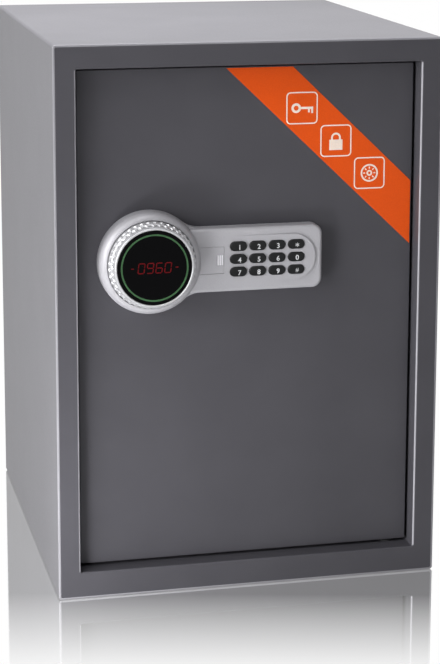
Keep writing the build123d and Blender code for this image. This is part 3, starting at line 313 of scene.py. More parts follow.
keyCoat = {
    "grain": 0.4 * mm,         # real grain is about 0.1 mm
    "grainDeep": 0.01 * mm,
    "bump": 0.4,
    "colours": ("#08090a", "#0c0d0f"),
    "roughness": (0.36, 0.48),
    "specular": 0.25,
}


def keyPlastic(name):
    # black keys: silicone-coated ABS, satin and a little dusty on top
    material, tree, shader, place = newMaterial(name)
    grain = addNode(tree, "ShaderNodeTexNoise", {"Vector": place, "Scale": 1 / keyCoat["grain"]})
    colour = addNode(tree, "ShaderNodeValToRGB", {"Fac": grain}, zip(noiseSpan, keyCoat["colours"]))
    smooth, rough = keyCoat["roughness"]
    satin = addNode(tree, "ShaderNodeMapRange", {"Value": grain, "To Min": smooth, "To Max": rough})
    bump = addNode(
        tree, "ShaderNodeBump",
        {"Height": grain, "Distance": keyCoat["grainDeep"], "Strength": keyCoat["bump"]}
    )
    setInputs(tree, shader, {
        "Base Color": colour, "Roughness": satin, "Normal": bump, "Specular IOR Level": keyCoat["specular"]
    })
    return material


mould = {
    "grain": 0.5 * mm,         # real grain is about 0.2 mm
    "coarseGrain": 0.8 * mm,
    "grainDeep": 0.02 * mm,
    "bump": 0.5,
    "uneven": 0.05,            # of the roughness, up and down
}


def mouldedPlastic(name, darkHex, lightHex, roughness, grainSize=mould["grain"]):
    # spark-eroded mould grain on plastic
    material, tree, shader, place = newMaterial(name)
    grain = addNode(tree, "ShaderNodeTexNoise", {"Vector": place, "Scale": 1 / grainSize})
    colour = addNode(tree, "ShaderNodeValToRGB", {"Fac": grain}, zip(noiseSpan, (darkHex, lightHex)))
    matt = addNode(
        tree, "ShaderNodeMapRange",
        {"Value": grain, "To Min": roughness - mould["uneven"], "To Max": roughness + mould["uneven"]}
    )
    bump = addNode(
        tree, "ShaderNodeBump", {"Height": grain, "Distance": mould["grainDeep"], "Strength": mould["bump"]}
    )
    setInputs(tree, shader, {"Base Color": colour, "Roughness": matt, "Normal": bump})
    return material


plating = {
    "cloud": 9.0 * mm,
    "cloudDetail": 4.0,
    "marks": 0.6 * mm,         # real marks are about 0.1 mm apart
    "marksDeep": 0.004 * mm,
    "bump": 0.4,
    "uneven": 0.08,            # of the roughness, up and down
    "rollMarks": (1, 1, 6),    # how much finer the marks are along each axis
    "grindMarks": (8, 1, 1),
}


def platedSteel(name, darkHex, lightHex, roughness, finer=(1, 1, 1)):
    # zinc-plated or ground steel: cloudy plating over fine rolling marks
    material, tree, shader, place = newMaterial(name)
    cloud = addNode(
        tree, "ShaderNodeTexNoise",
        {"Vector": place, "Scale": 1 / plating["cloud"], "Detail": plating["cloudDetail"]}
    )
    along = addNode(tree, "ShaderNodeMapping", {"Vector": place, "Scale": finer})
    marks = addNode(tree, "ShaderNodeTexNoise", {"Vector": along, "Scale": 1 / plating["marks"]})
    colour = addNode(tree, "ShaderNodeValToRGB", {"Fac": cloud}, zip(noiseSpan, (darkHex, lightHex)))
    shine = addNode(
        tree, "ShaderNodeMapRange",
        {"Value": marks, "To Min": roughness - plating["uneven"], "To Max": roughness + plating["uneven"]}
    )
    bump = addNode(
        tree, "ShaderNodeBump",
        {"Height": marks, "Distance": plating["marksDeep"], "Strength": plating["bump"]}
    )
    setInputs(tree, shader, {"Base Color": colour, "Roughness": shine, "Normal": bump, "Metallic": 1.0})
    return material


film = {
    "ink": 1.2 * mm,
    "ripple": 22.0 * mm,
    "rippleDeep": 0.06 * mm,
    "bump": 0.3,
    "roughness": 0.42,
    "specular": 0.2,
}


def printedFilm(name, darkHex, lightHex):
    # self-adhesive printed film: even ink under a thin satin laminate
    material, tree, shader, place = newMaterial(name)
    ink = addNode(tree, "ShaderNodeTexNoise", {"Vector": place, "Scale": 1 / film["ink"]})
    ripple = addNode(tree, "ShaderNodeTexNoise", {"Vector": place, "Scale": 1 / film["ripple"]})
    colour = addNode(tree, "ShaderNodeValToRGB", {"Fac": ink}, zip(noiseSpan, (darkHex, lightHex)))
    bump = addNode(
        tree, "ShaderNodeBump",
        {"Height": ripple, "Distance": film["rippleDeep"], "Strength": film["bump"]}
    )
    setInputs(tree, shader, {
        "Base Color": colour, "Roughness": film["roughness"], "Normal": bump,
        "Specular IOR Level": film["specular"]
    })
    return material


board = {
    "lacquer": ("#0d4a26", "#0f5229"),
    "track": "#2c7a45",
    "trackPitch": 9.0 * mm,
    "trackWide": 0.03,         # share of the pitch
    "trackDeep": 0.03 * mm,
    "bump": 0.4,
    "roughness": 0.35,
}


def circuitBoard(name):
    # glass epoxy board: green lacquer over copper tracks that show as lighter lines
    material, tree, shader, place = newMaterial(name)
    upright = addNode(tree, "ShaderNodeMapping", {"Vector": place, "Rotation": (math.pi / 2, 0, 0)})
    tracks = addNode(tree, "ShaderNodeTexBrick", {
        "Vector": upright, "Color1": linearColour(board["lacquer"][0]),
        "Color2": linearColour(board["lacquer"][1]), "Mortar": linearColour(board["track"]),
        "Scale": 1 / board["trackPitch"], "Mortar Size": board["trackWide"]
    }).outputs
    bump = addNode(
        tree, "ShaderNodeBump",
        {"Height": tracks["Fac"], "Distance": board["trackDeep"], "Strength": board["bump"]}
    )
    setInputs(tree, shader, {
        "Base Color": tracks["Color"], "Roughness": board["roughness"], "Normal": bump
    })
    return material


felt = {
    # fibres that lie one way, then the other: their size, where real ones are about 0.03 mm, and how
    # much finer they are along each axis
    "layers": ((1.0 * mm, (1, 3, 1)), (1.2 * mm, (3, 1, 1))),
    "fibreDetail": 4.0,
    "fibreDeep": 0.5 * mm,
    "bump": 0.7,
    "colours": ("#1b1b1e", "#3a3a3f"),
    "roughness": 0.95,
    "sheen": 0.35,
    "sheenRoughness": 0.5,
}


def needleFelt(name):
    # needle felt: short dark fibres lying every way, with a soft sheen at grazing light
    material, tree, shader, place = newMaterial(name)
    fibres = []
    for size, finer in felt["layers"]:
        along = addNode(tree, "ShaderNodeMapping", {"Vector": place, "Scale": finer})
        fibres.append(addNode(
            tree, "ShaderNodeTexNoise",
            {"Vector": along, "Scale": 1 / size, "Detail": felt["fibreDetail"]}
        ))
    both = addNode(tree, "ShaderNodeMath", {0: fibres[0], 1: fibres[1]}, operation="MAXIMUM")
    colour = addNode(tree, "ShaderNodeValToRGB", {"Fac": both}, zip(noiseSpan, felt["colours"]))
    bump = addNode(
        tree, "ShaderNodeBump", {"Height": both, "Distance": felt["fibreDeep"], "Strength": felt["bump"]}
    )
    setInputs(tree, shader, {
        "Base Color": colour, "Roughness": felt["roughness"], "Normal": bump,
        "Sheen Weight": felt["sheen"], "Sheen Roughness": felt["sheenRoughness"]
    })
    return material


sleeve = {
    "bareEnd": 4.5 * mm,
    "sleeveColour": "#17181a",
    "endColour": "#b98a4a",
    "roughness": 0.3,
}


def batterySleeve(name):
    # shrink sleeve round the cells, with the bare metal ends showing
    material, tree, shader, place = newMaterial(name)
    low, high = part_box("batteries")
    centre = (low.x + high.x) / 2
    across = addNode(tree, "ShaderNodeSeparateXYZ", {"Vector": place}).outputs["X"]
    offset = addNode(tree, "ShaderNodeMath", {0: across, 1: centre}, operation="SUBTRACT")
    distance = addNode(tree, "ShaderNodeMath", {0: offset}, operation="ABSOLUTE")
    endStart = high.x - centre - sleeve["bareEnd"]
    isEnd = addNode(tree, "ShaderNodeMath", {0: distance, 1: endStart}, operation="GREATER_THAN")
    colour = addNode(
        tree, "ShaderNodeMix",
        {"Factor": isEnd, 6: linearColour(sleeve["sleeveColour"]), 7: linearColour(sleeve["endColour"])},
        data_type="RGBA"
    )
    setInputs(tree, shader, {"Base Color": colour, "Roughness": sleeve["roughness"], "Metallic": isEnd})
    return material


slotMaterials = {
    # The wrap's grey is lighter than the front's graphite as painted light, for the stronger light on the
    # sides and top
    "shell_paint": powderCoat(
        # the last colour is the painted highlight on the wrap's front edge
        "powder coat grey with painted light", "#555459", "#59585d", 0.42, 0.3, wrapEdgeHighlight, "#86858a"
    ),
    "front_paint": powderCoat(
        # the last colour is the painted highlight along the opening's sides
        "powder coat graphite with painted fold highlight", "#444348", "#48474c", 0.40, 0.2, openingFoldHighlight, "#a3a2a8"
    ),
    "inner_paint": powderCoat("powder coat dark grey inside", "#3c3c40", "#424246", 0.50, 0.3),
    "zinc_steel": platedSteel("zinc-plated steel", "#a8aaa4", "#c2c3be", 0.38, plating["rollMarks"]),
    "bright_steel": platedSteel(
        "ground bright steel", "#bfc0c2", "#d4d5d6", 0.20, plating["grindMarks"]
    ),
    "screw_steel": platedSteel("zinc-plated screw steel", "#a9aaab", "#bfc0c1", 0.32),
    "nylon": mouldedPlastic("natural nylon", "#d6d3c8", "#dedbd1", 0.5),
    "panel_plastic": silverPaint("silver paint on ABS", "#a1a0a5", "#a9a8ad"),
    "knob_metal": turnedAluminium("turned satin aluminium"),
    "lens_black": smokedLens("smoked black acrylic"),
    "light_guide": lightGuide("green light guide", "#365238", "#3d5d40", 0.10),
    "key_plastic": keyPlastic("black key plastic"),
    "hub_plastic": mouldedPlastic("black glass-filled nylon", "#1a1a1b", "#232324", 0.55),
    "board_green": circuitBoard("green circuit board"),
    "mat_rubber": mouldedPlastic("grey silicone rubber", "#6a6a6d", "#727276", 0.75),
    "coil_black": mouldedPlastic("black coil housing", "#191a1c", "#212224", 0.5),
    "box_plastic": mouldedPlastic(
        "black ABS with mould grain", "#1f2022", "#2a2b2d", 0.55, mould["coarseGrain"]
    ),
    "battery_wrap": batterySleeve("battery sleeve"),
    "button_red": mouldedPlastic("red ABS", "#a8191a", "#b41d1d", 0.35),
    "band_print": printedFilm("orange printed film", "#d74e0f", "#dd5210"),
    "felt": needleFelt("dark needle felt"),
}
# The ribs' pale silver is a painted highlight, where light would catch them
ribHighlightPaint = silverPaint("silver paint with painted rib highlight", "#dcdbe0", "#e8e7ec")
digitPrint = printedFilm("white pad print", "#c6c7ca", "#d2d3d6")
signPrint = printedFilm("pale ink", "#ecd9cb", "#f1e0d3")
digitGlow = lightGuide("red display figures", "#480a0d", "#540c10", 0.3)

slotOf = {part["node"]: part["material_slot"] for part in frame["record"]["subparts"]}
for name, node in nodes.items():
    node.data.materials.clear()
    node.data.materials.append(slotMaterials[slotOf[name]])
print("materials set on", len(nodes), "nodes")


# Mesh helpers

def pieceFrom(name, mesh, material, body, replaces=()):
    # a finished piece at the origin that rides on its body
    mesh.name = name
    mesh.materials.clear()
    mesh.materials.append(material)
    piece = bpy.data.objects.new(name, mesh)
    bpy.context.scene.collection.objects.link(piece)
    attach(piece, body)
    if replaces:
        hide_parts(*replaces)


def meshFrom(build, smoothAngle=None):
    # a mesh from a bmesh recipe, with its doubles merged and its faces turned outwards
    shape = bmesh.new()
    build(shape)
    bmesh.ops.remove_doubles(shape, verts=shape.verts, dist=mergeReach)
    bmesh.ops.recalc_face_normals(shape, faces=shape.faces)
    if smoothAngle:
        for face in shape.faces:
            face.smooth = True
        for edge in shape.edges:
            if len(edge.link_faces) == 2 and edge.calc_face_angle(0) > smoothAngle:
                edge.smooth = False
    mesh = bpy.data.meshes.new("shape")
    shape.to_mesh(mesh)
    shape.free()
    return mesh


def addPlate(shape, outline, frontY, thick):
    # a closed plate from an outline in x and z, its front face towards the viewer
    front = [shape.verts.new((x, frontY, z)) for x, z in outline]
    back = [shape.verts.new((x, frontY + thick, z)) for x, z in outline]
    shape.faces.new(front)
    shape.faces.new(list(reversed(back)))
    for i in range(len(outline)):
        j = (i + 1) % len(outline)
        shape.faces.new((front[i], back[i], back[j], front[j]))


def addRingPlate(shape, outer, inner, frontY, thick):
    # a closed plate between two outlines that have the same number of points
    backY = frontY + thick
    rings = [[shape.verts.new((x, y, z)) for x, z in outline]
             for outline, y in ((outer, frontY), (inner, frontY), (inner, backY), (outer, backY))]
    count = len(outer)
    for a, b in ((0, 1), (1, 2), (2, 3), (3, 0)):
        for i in range(count):
            j = (i + 1) % count
            shape.faces.new((rings[a][i], rings[a][j], rings[b][j], rings[b][i]))


def rectanglePoints(x0, z0, x1, z1):
    return [(x0, z0), (x1, z0), (x1, z1), (x0, z1)]


# Geometry Nodes: copies of one small shape on a list of places

def spreadShape(name, places, unit, material, smooth=True):
    # places are (position, rotation) pairs. The tree copies the unit to each, joins the copies
    # and sets the finish
    points = bpy.data.meshes.new(name)
    points.from_pydata([place for place, turn in places], [], [])
    turns = points.attributes.new("turn", "FLOAT_VECTOR", "POINT")
    for i, (place, turn) in enumerate(places):
        turns.data[i].vector = turn
    holder = bpy.data.objects.new(name, points)
    bpy.context.scene.collection.objects.link(holder)
    unitHolder = bpy.data.objects.new(name + " unit", unit)
    bpy.context.scene.collection.objects.link(unitHolder)
    tree = bpy.data.node_groups.new(name + " copies", "GeometryNodeTree")
    tree.interface.new_socket("Geometry", in_out="INPUT", socket_type="NodeSocketGeometry")
    shapeSocket = tree.interface.new_socket("Shape", in_out="INPUT", socket_type="NodeSocketObject")
    sizeSocket = tree.interface.new_socket("Size", in_out="INPUT", socket_type="NodeSocketFloat")
    tree.interface.new_socket("Geometry", in_out="OUTPUT", socket_type="NodeSocketGeometry")
    given = addNode(tree, "NodeGroupInput")
    unitShape = addNode(tree, "GeometryNodeObjectInfo", {"Object": given.outputs["Shape"]})
    turn = addNode(tree, "GeometryNodeInputNamedAttribute", {"Name": "turn"}, data_type="FLOAT_VECTOR")
    copies = addNode(
        tree, "GeometryNodeInstanceOnPoints",
        {"Points": given.outputs["Geometry"], "Instance": unitShape.outputs["Geometry"],
         "Rotation": turn.outputs["Attribute"], "Scale": given.outputs["Size"]},
    )
    real = addNode(tree, "GeometryNodeRealizeInstances", {"Geometry": copies})
    finished = addNode(tree, "GeometryNodeSetMaterial", {"Geometry": real, "Material": material})
    addNode(tree, "NodeGroupOutput", {"Geometry": finished})
    modifier = holder.modifiers.new("copies", "NODES")
    modifier.node_group = tree
    modifier[shapeSocket.identifier] = unitHolder
    modifier[sizeSocket.identifier] = 1.0
    bpy.context.view_layer.update()
    shown = holder.evaluated_get(bpy.context.evaluated_depsgraph_get())
    mesh = bpy.data.meshes.new_from_object(shown)
    holder.modifiers.clear()
    bpy.data.objects.remove(holder)
    bpy.data.objects.remove(unitHolder)
    for face in mesh.polygons:
        face.use_smooth = smooth
    return mesh


def lathe(profile, steps, centreX, centreZ, smoothAngle):
    # a closed ring: the profile is (radius, y) pairs, turned round the axis along y
    def build(shape):
        rings = []
        for k in range(steps):
            angle = 2 * math.pi * k / steps
            rings.append([
                shape.verts.new((centreX + r * math.cos(angle), y, centreZ + r * math.sin(angle)))
                for r, y in profile
            ])
        for k in range(steps):
            here, there = rings[k], rings[(k + 1) % steps]
            for i in range(len(profile)):
                j = (i + 1) % len(profile)
                shape.faces.new((here[i], here[j], there[j], there[i]))
    return meshFrom(build, smoothAngle)


# Knob: a turned cone with two staggered rows of diamond studs for the fingers

knob = {
    "steps": 160,
    "studsRound": 40,
    "neckRadius": 36.0 * mm,
    "rimRadius": 35.5 * mm,
    "rimRound": 1.1 * mm,
    "rimTurns": (0, 22, 45, 68, 90),    # degrees round the rim's edge
    "rimTall": 3.0 * mm,
    "foot": 1.5 * mm,
    "boreRadius": 33.5 * mm,
    "boreBevel": 0.25 * mm,
    "shaftRadius": 8.05 * mm,
    "webThick": 3.0 * mm,
    "ridgeDepth": 8.0 * mm,       # below the knob's face, between the rows of studs
    "ridgeTall": 0.8 * mm,
    "ridgeProud": 0.5 * mm,
    "studDepths": (5.7 * mm, 11.3 * mm),    # of the two rows, below the knob's face
    "studWide": 5.5 * mm,
    "studTall": 5.0 * mm,
    "studProud": 0.95 * mm,
    "studFlat": 0.3,              # share of a stud's width that its top has
    "studSunk": 0.25,             # share of its height that is in the cone
    "smoothAngle": math.radians(30),
}


def diamondStud(wide, tall, proud, lean):
    # one facetted diamond with a small flat top, leaning with the cone. Out is +x, up the cone is -y
    def build(shape):
        base = [(wide / 2, 0), (0, tall / 2), (-wide / 2, 0), (0, -tall / 2)]
        flat = knob["studFlat"]
        low = [shape.verts.new((-proud * knob["studSunk"], y, z)) for z, y in base]
        high = [shape.verts.new((proud, y * flat, z * flat)) for z, y in base]
        shape.faces.new(list(reversed(low)))
        shape.faces.new(high)
        for i in range(4):
            j = (i + 1) % 4
            shape.faces.new((low[i], low[j], high[j], high[i]))
        bmesh.ops.rotate(shape, verts=shape.verts, matrix=Matrix.Rotation(-lean, 3, "Z"))
    return meshFrom(build)


def makeKnob():
    face, back = knobBox[0].y, knobBox[1].y
    footRadius = (knobBox[1].x - knobBox[0].x) / 2
    neck, rim = knob["neckRadius"], knob["rimRadius"]
    coneTop, coneFoot = face + knob["rimTall"], back - knob["foot"]
    lean = math.atan2(footRadius - neck, coneFoot - coneTop)

    def coneRadius(depth):
        return neck + (depth - knob["rimTall"]) * math.tan(lean)

    ridge, half = knob["ridgeDepth"], knob["ridgeTall"] / 2
    rimPoints = [
        (rim - knob["rimRound"] * (1 - math.cos(a)), face + knob["rimRound"] * (1 - math.sin(a)))
        for a in [math.radians(degrees) for degrees in knob["rimTurns"]]
    ]
    profile = [
        (knob["shaftRadius"], back), (footRadius, back), (footRadius, coneFoot),
        (coneRadius(ridge + 2 * half), face + ridge + 2 * half),
        (coneRadius(ridge + half) + knob["ridgeProud"], face + ridge + half),
        (coneRadius(ridge - half) + knob["ridgeProud"], face + ridge - half),
        (coneRadius(ridge - 2 * half), face + ridge - 2 * half),
        (neck, coneTop), (rim, coneTop),
    ] + rimPoints + [
        (knob["boreRadius"] + knob["boreBevel"], face), (knob["boreRadius"], face + knob["boreBevel"]),
        (knob["boreRadius"], back - knob["webThick"]), (knob["shaftRadius"], back - knob["webThick"]),
    ]
    ring = lathe(profile, knob["steps"], knobX, knobZ, knob["smoothAngle"])
    places = []
    for row, depth in enumerate(knob["studDepths"]):
        radius = coneRadius(depth)
        for k in range(knob["studsRound"]):
            angle = 2 * math.pi * (k + row / 2) / knob["studsRound"]
            places.append((
                (knobX + radius * math.cos(angle), face + depth, knobZ + radius * math.sin(angle)),
                (0, -angle, 0),
            ))
    unit = diamondStud(knob["studWide"], knob["studTall"], knob["studProud"], lean)
    studs = spreadShape("knob studs", places, unit, slotMaterials["knob_metal"], False)
    joined = bmesh.new()
    joined.from_mesh(ring)
    joined.from_mesh(studs)
    mesh = bpy.data.meshes.new("knob")
    joined.to_mesh(mesh)
    joined.free()
    pieceFrom("knob_rim", mesh, slotMaterials["knob_metal"], "dial", ["knob_ring"])


makeKnob()
print("knob made")


# Display: plain red figures in seven segments

display = {
    "text": "-0960-",
    "height": 8.8 * mm,
    "width": 5.4 * mm,
    "pitch": 7.9 * mm,
    "bar": 0.95 * mm,
    "dash": 0.6,                  # share of a figure's width
    "mitre": 0.35,                # gap between two bars, as a share of half a bar
    "slant": 0.12,                # to the side, as a share of the height
    "proud": 0.06 * mm,
}
segmentsOf = {"0": "abcdef", "6": "acdefg", "9": "abcdfg", "-": "g"}


def segmentLines(width, height):
    # the middle line of each segment, from one end to the other
    half, mid = width / 2, height / 2
    return {
        "a": ((-half, mid), (half, mid)), "g": ((-half, 0), (half, 0)), "d": ((-half, -mid), (half, -mid)),
        "b": ((half, mid), (half, 0)), "c": ((half, 0), (half, -mid)),
        "f": ((-half, mid), (-half, 0)), "e": ((-half, 0), (-half, -mid)),
    }


def makeFigures():
    lines = segmentLines(display["width"], display["height"])
    bar = display["bar"] / 2

    def build(shape):
        count = len(display["text"])
        for place, figure in enumerate(display["text"]):
            middleX = knobX + (place - (count - 1) / 2) * display["pitch"]
            for segment in segmentsOf[figure]:
                (x0, z0), (x1, z1) = lines[segment]
                if figure == "-":
                    x0, x1 = x0 * display["dash"], x1 * display["dash"]
                along = Vector((x1 - x0, z1 - z0)).normalized()
                side = Vector((-along.y, along.x))
                start = Vector((x0, z0)) + along * bar * display["mitre"]
                end = Vector((x1, z1)) - along * bar * display["mitre"]
                corners = [start, start + (along + side) * bar, end + (side - along) * bar, end,
                           end - (side + along) * bar, start + (along - side) * bar]
                outline = [
                    (middleX + c.x + c.y * display["slant"], knobZ + c.y) for c in reversed(corners)
                ]
                addPlate(shape, outline, lensFaceY - display["proud"], display["proud"])
    pieceFrom("display_figures", meshFrom(build), digitGlow, "door")


makeFigures()
print("display figures made")


# Sliding cover: a tongued plate whose grip is three ribs in a shallow pocket, below its face

cover = {
    "tongue": 1.5 * mm,            # beyond the face plate, above and below
    "tongueThick": 1.3 * mm,
    "pocketLeft": 6.7 * mm,        # from the cover's right end
    "pocketRight": 0.5 * mm,
    "pocketTall": 9.2 * mm,
    "pocketDeep": 0.7 * mm,
    "ribs": 3,
    "ribWide": 1.1 * mm,
    "ribSlant": 0.4 * mm,
    "ribPitch": 1.9 * mm,
    "firstRib": 0.4 * mm,          # from the pocket's right side
    "inset": 0.01 * mm,            # keeps the side faces of the layers apart
}


def ribShape(tall):
    # one rib with its right edge at the origin, slanted on its left side
    foot, deep = cover["ribWide"], cover["pocketDeep"] - cover["inset"]

    def build(shape):
        section = [(0, 0), (0, deep), (-foot, deep), (cover["ribSlant"] - foot, 0)]
        ends = [[shape.verts.new((x, y, z)) for x, y in section] for z in (-tall / 2, tall / 2)]
        shape.faces.new(ends[0])
        shape.faces.new(list(reversed(ends[1])))
        for i in range(len(section)):
            j = (i + 1) % len(section)
            shape.faces.new((ends[0][i], ends[1][i], ends[1][j], ends[0][j]))
    return meshFrom(build)


def makeCover():
    low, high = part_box("key_cover")
    middleZ = (low.z + high.z) / 2
    tall, tongue, inset = cover["pocketTall"], cover["tongue"], cover["inset"]
    left, right = high.x - cover["pocketLeft"], high.x - cover["pocketRight"]
    floorY = low.y + cover["pocketDeep"]
    tongueY = high.y - cover["tongueThick"]

    def build(shape):
        face = rectanglePoints(low.x, low.z + tongue, high.x, high.z - tongue)
        pocket = rectanglePoints(left, middleZ - tall / 2, right, middleZ + tall / 2)
        addRingPlate(shape, face, pocket, low.y, cover["pocketDeep"])
        middle = rectanglePoints(
            low.x + inset, low.z + tongue + inset, high.x - inset, high.z - tongue - inset
        )
        addPlate(shape, middle, floorY - 2 * inset, tongueY + 4 * inset - floorY)
        addPlate(shape, rectanglePoints(low.x, low.z, high.x, high.z), tongueY, cover["tongueThick"])
    pieceFrom(
        "sliding_cover", meshFrom(build), slotMaterials["panel_plastic"], "lock_cover",
        ["key_cover"]
    )
    places = []
    for k in range(cover["ribs"]):
        edge = right - cover["firstRib"] - k * cover["ribPitch"]
        places.append(((edge, low.y + inset, middleZ), (0, 0, 0)))
    # the ribs take the pale silver of the painted highlight
    ribs = spreadShape("cover ribs", places, ribShape(tall - 2 * inset), ribHighlightPaint, False)
    pieceFrom("cover_ribs", ribs, ribHighlightPaint, "lock_cover")


makeCover()
print("sliding cover made")


# Key legends: numbers, a star and a hash in white

legend = {
    "signs": {"star": "*", "hash": "#"},
    "size": 6.2 * mm,
    "signSize": {"star": 8.0 * mm, "hash": 5.2 * mm},
    "right": 0.8 * mm,             # from the key's middle
    "down": 0.6 * mm,
    "proud": 0.05 * mm,
    "bold": 0.10 * mm,             # how far the outlines grow
}


def makeLegends():
    for name in sorted(n for n in nodes if bodyOf[n] == n + "_cap"):
        word = name.split("_")[1]
        low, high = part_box(name)
        text = bpy.data.curves.new(name + " text", "FONT")
        text.body = legend["signs"].get(word, word)
        text.size = legend["signSize"].get(word, legend["size"])
        text.offset = 0 if word == "hash" else legend["bold"]    # bold would close the hash
        text.extrude = legend["proud"] / 2
        text.align_x = "CENTER"
        text.align_y = "CENTER"
        holder = bpy.data.objects.new(name + " text", text)
        bpy.context.scene.collection.objects.link(holder)
        bpy.context.view_layer.update()
        shown = holder.evaluated_get(bpy.context.evaluated_depsgraph_get())
        mesh = bpy.data.meshes.new_from_object(shown)
        bpy.data.objects.remove(holder)
        mesh.transform(Matrix.Rotation(math.pi / 2, 4, "X"))
        reach = [vertex.co for vertex in mesh.vertices]
        middleX = (min(c.x for c in reach) + max(c.x for c in reach)) / 2
        middleZ = (min(c.z for c in reach) + max(c.z for c in reach)) / 2
        mesh.transform(Matrix.Translation((
            (low.x + high.x) / 2 + legend["right"] - middleX,
            low.y - legend["proud"] / 2,
            (low.z + high.z) / 2 - legend["down"] - middleZ,
        )))
        pieceFrom("legend_" + word, mesh, digitPrint, bodyOf[name])


makeLegends()
print("key legends made")


# Band: plain signs in pale ink, along the middle of the orange film

band = {
    "pitch": 44.0 * mm,        # from sign to sign, along the band
    "frameHalf": 14.5 * mm,
    "frameLine": 1.1 * mm,
    "corner": 4.0 * mm,
    "ink": 0.05 * mm,
    "unit": 1.7 * mm,          # one unit of a sign's outline
    "onEdge": 1.0 * mm,        # a corner this near the film's end counts as on it
}


def circlePoints(x, z, radius, steps=32, start=0.0, turn=2 * math.pi):
    ends = steps if turn >= 2 * math.pi else steps + 1
    return [
        (x + radius * math.cos(start + turn * k / steps), z + radius * math.sin(start + turn * k / steps))
        for k in range(ends)
    ]


def roundedSquare(half, corner, steps=6):
    points = []
    inner = half - corner
    for signX, signZ, degrees in ((1, 1, 0), (-1, 1, 90), (-1, -1, 180), (1, -1, 270)):
        start = math.radians(degrees)
        points += circlePoints(signX * inner, signZ * inner, corner, steps, start, math.pi / 2)
    return points


def keySign():
    # the bow, the shank and two bits, in units
    rings = [(circlePoints(-3.2, 0, 2.6), circlePoints(-3.2, 0, 1.3))]
    plates = [
        rectanglePoints(-0.7, -0.6, 6.0, 0.6),
        rectanglePoints(3.2, -2.4, 4.2, -0.6),
        rectanglePoints(5.0, -2.8, 6.0, -0.6),
    ]
    return plates, rings


def padlockSign():
    # the case and the shackle, in units
    bar, foot, outer, inner = 1.6, 0.6, 2.7, 1.7
    shackle = [(outer, foot)] + circlePoints(0, bar, outer, 16, 0, math.pi)
    shackle += [(-outer, foot), (-inner, foot)]
    shackle += list(reversed(circlePoints(0, bar, inner, 16, 0, math.pi))) + [(inner, foot)]
    return [rectanglePoints(-3.6, -5.0, 3.6, foot), shackle], []


def dialSign():
    # the rim, the hub and eight ticks, in units
    rings = [
        (circlePoints(0, 0, 4.8), circlePoints(0, 0, 3.9)),
        (circlePoints(0, 0, 1.6, 20), circlePoints(0, 0, 0.7, 20)),
    ]
    plates = []
    near, far, halfWide, ticks = 2.3, 3.4, 0.3, 8
    for k in range(ticks):
        angle = 2 * math.pi * k / ticks
        along = Vector((math.cos(angle), math.sin(angle)))
        side = Vector((-along.y, along.x)) * halfWide
        corners = (along * near - side, along * far - side, along * far + side, along * near + side)
        plates.append([tuple(corner) for corner in corners])
    return plates, rings


def makeBandSigns():
    # the signs stand upright, one below the other along the band's middle line
    low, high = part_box("door_band")
    corners = [vertex.co for vertex in nodes["door_band"].data.vertices]
    outerX = max(c.x for c in corners if c.z > high.z - band["onEdge"])
    outerZ = max(c.z for c in corners if c.x > high.x - band["onEdge"])
    start = Vector(((low.x + outerX) / 2, high.z))
    end = Vector((high.x, (low.z + outerZ) / 2))
    along = (end - start).normalized()
    ink, unit = band["ink"], band["unit"]
    faceY = low.y - ink
    half, line, corner = band["frameHalf"], band["frameLine"], band["corner"]
    border = (roundedSquare(half, corner), roundedSquare(half - line, corner - line))
    signs = (keySign(), padlockSign(), dialSign())

    def build(shape):
        for k, (plates, rings) in enumerate(signs):
            centre = (start + end) / 2 + along * band["pitch"] * (k - (len(signs) - 1) / 2)

            def placed(points, scale):
                return [(centre.x + x * scale, centre.y + z * scale) for x, z in points]

            for points in plates:
                addPlate(shape, placed(points, unit), faceY, ink)
            for outer, inner in rings:
                addRingPlate(shape, placed(outer, unit), placed(inner, unit), faceY, ink)
            addRingPlate(shape, placed(border[0], 1), placed(border[1], 1), faceY, ink)
    pieceFrom("band_signs", meshFrom(build), signPrint, "door")


makeBandSigns()
print("band signs made")


# Screws with a domed head and a cross recess, copied to where the frame has them

screw = {
    "headRadius": 3.4 * mm,
    "headHeight": 2.2 * mm,
    "shankRadius": 2.0 * mm,
    "tipShare": 0.8,             # of the shank's radius
    "tipLong": 0.5 * mm,
    "domeSteps": 6,
    "domeFullness": 0.6,         # below 1 the dome keeps its width for longer
    "crossReach": 0.42,          # shares of the head's radius
    "crossHalf": 0.11,
    "crossDeep": 1.2 * mm,
    "crossTaper": 0.8,
    "firstTurn": 23,             # degrees, so that no two crosses stand alike
    "nextTurn": 41,
    "steps": 24,
    "smoothAngle": math.radians(35),
}


def addCross(shape, rim, topZ):
    # the recess: a plus-shaped pit sunk into the flat top inside the rim
    arm, half = screw["headRadius"] * screw["crossReach"], screw["headRadius"] * screw["crossHalf"]
    plus = [(arm, -half), (arm, half), (half, half), (half, arm), (-half, arm), (-half, half), (-arm, half),
            (-arm, -half), (-half, -half), (-half, -arm), (half, -arm), (half, -half)]
    taper = screw["crossTaper"]
    lip = [shape.verts.new((x, y, topZ)) for x, y in plus]
    pit = [shape.verts.new((x * taper, y * taper, topZ - screw["crossDeep"])) for x, y in plus]
    for i in range(len(plus)):
        j = (i + 1) % len(plus)
        shape.faces.new((lip[i], lip[j], pit[j], pit[i]))
    shape.faces.new(pit)
    edges = [shape.edges.get((loop[i - 1], loop[i])) for loop in (rim, lip) for i in range(len(loop))]
    bmesh.ops.triangle_fill(shape, edges=edges, use_beauty=True)


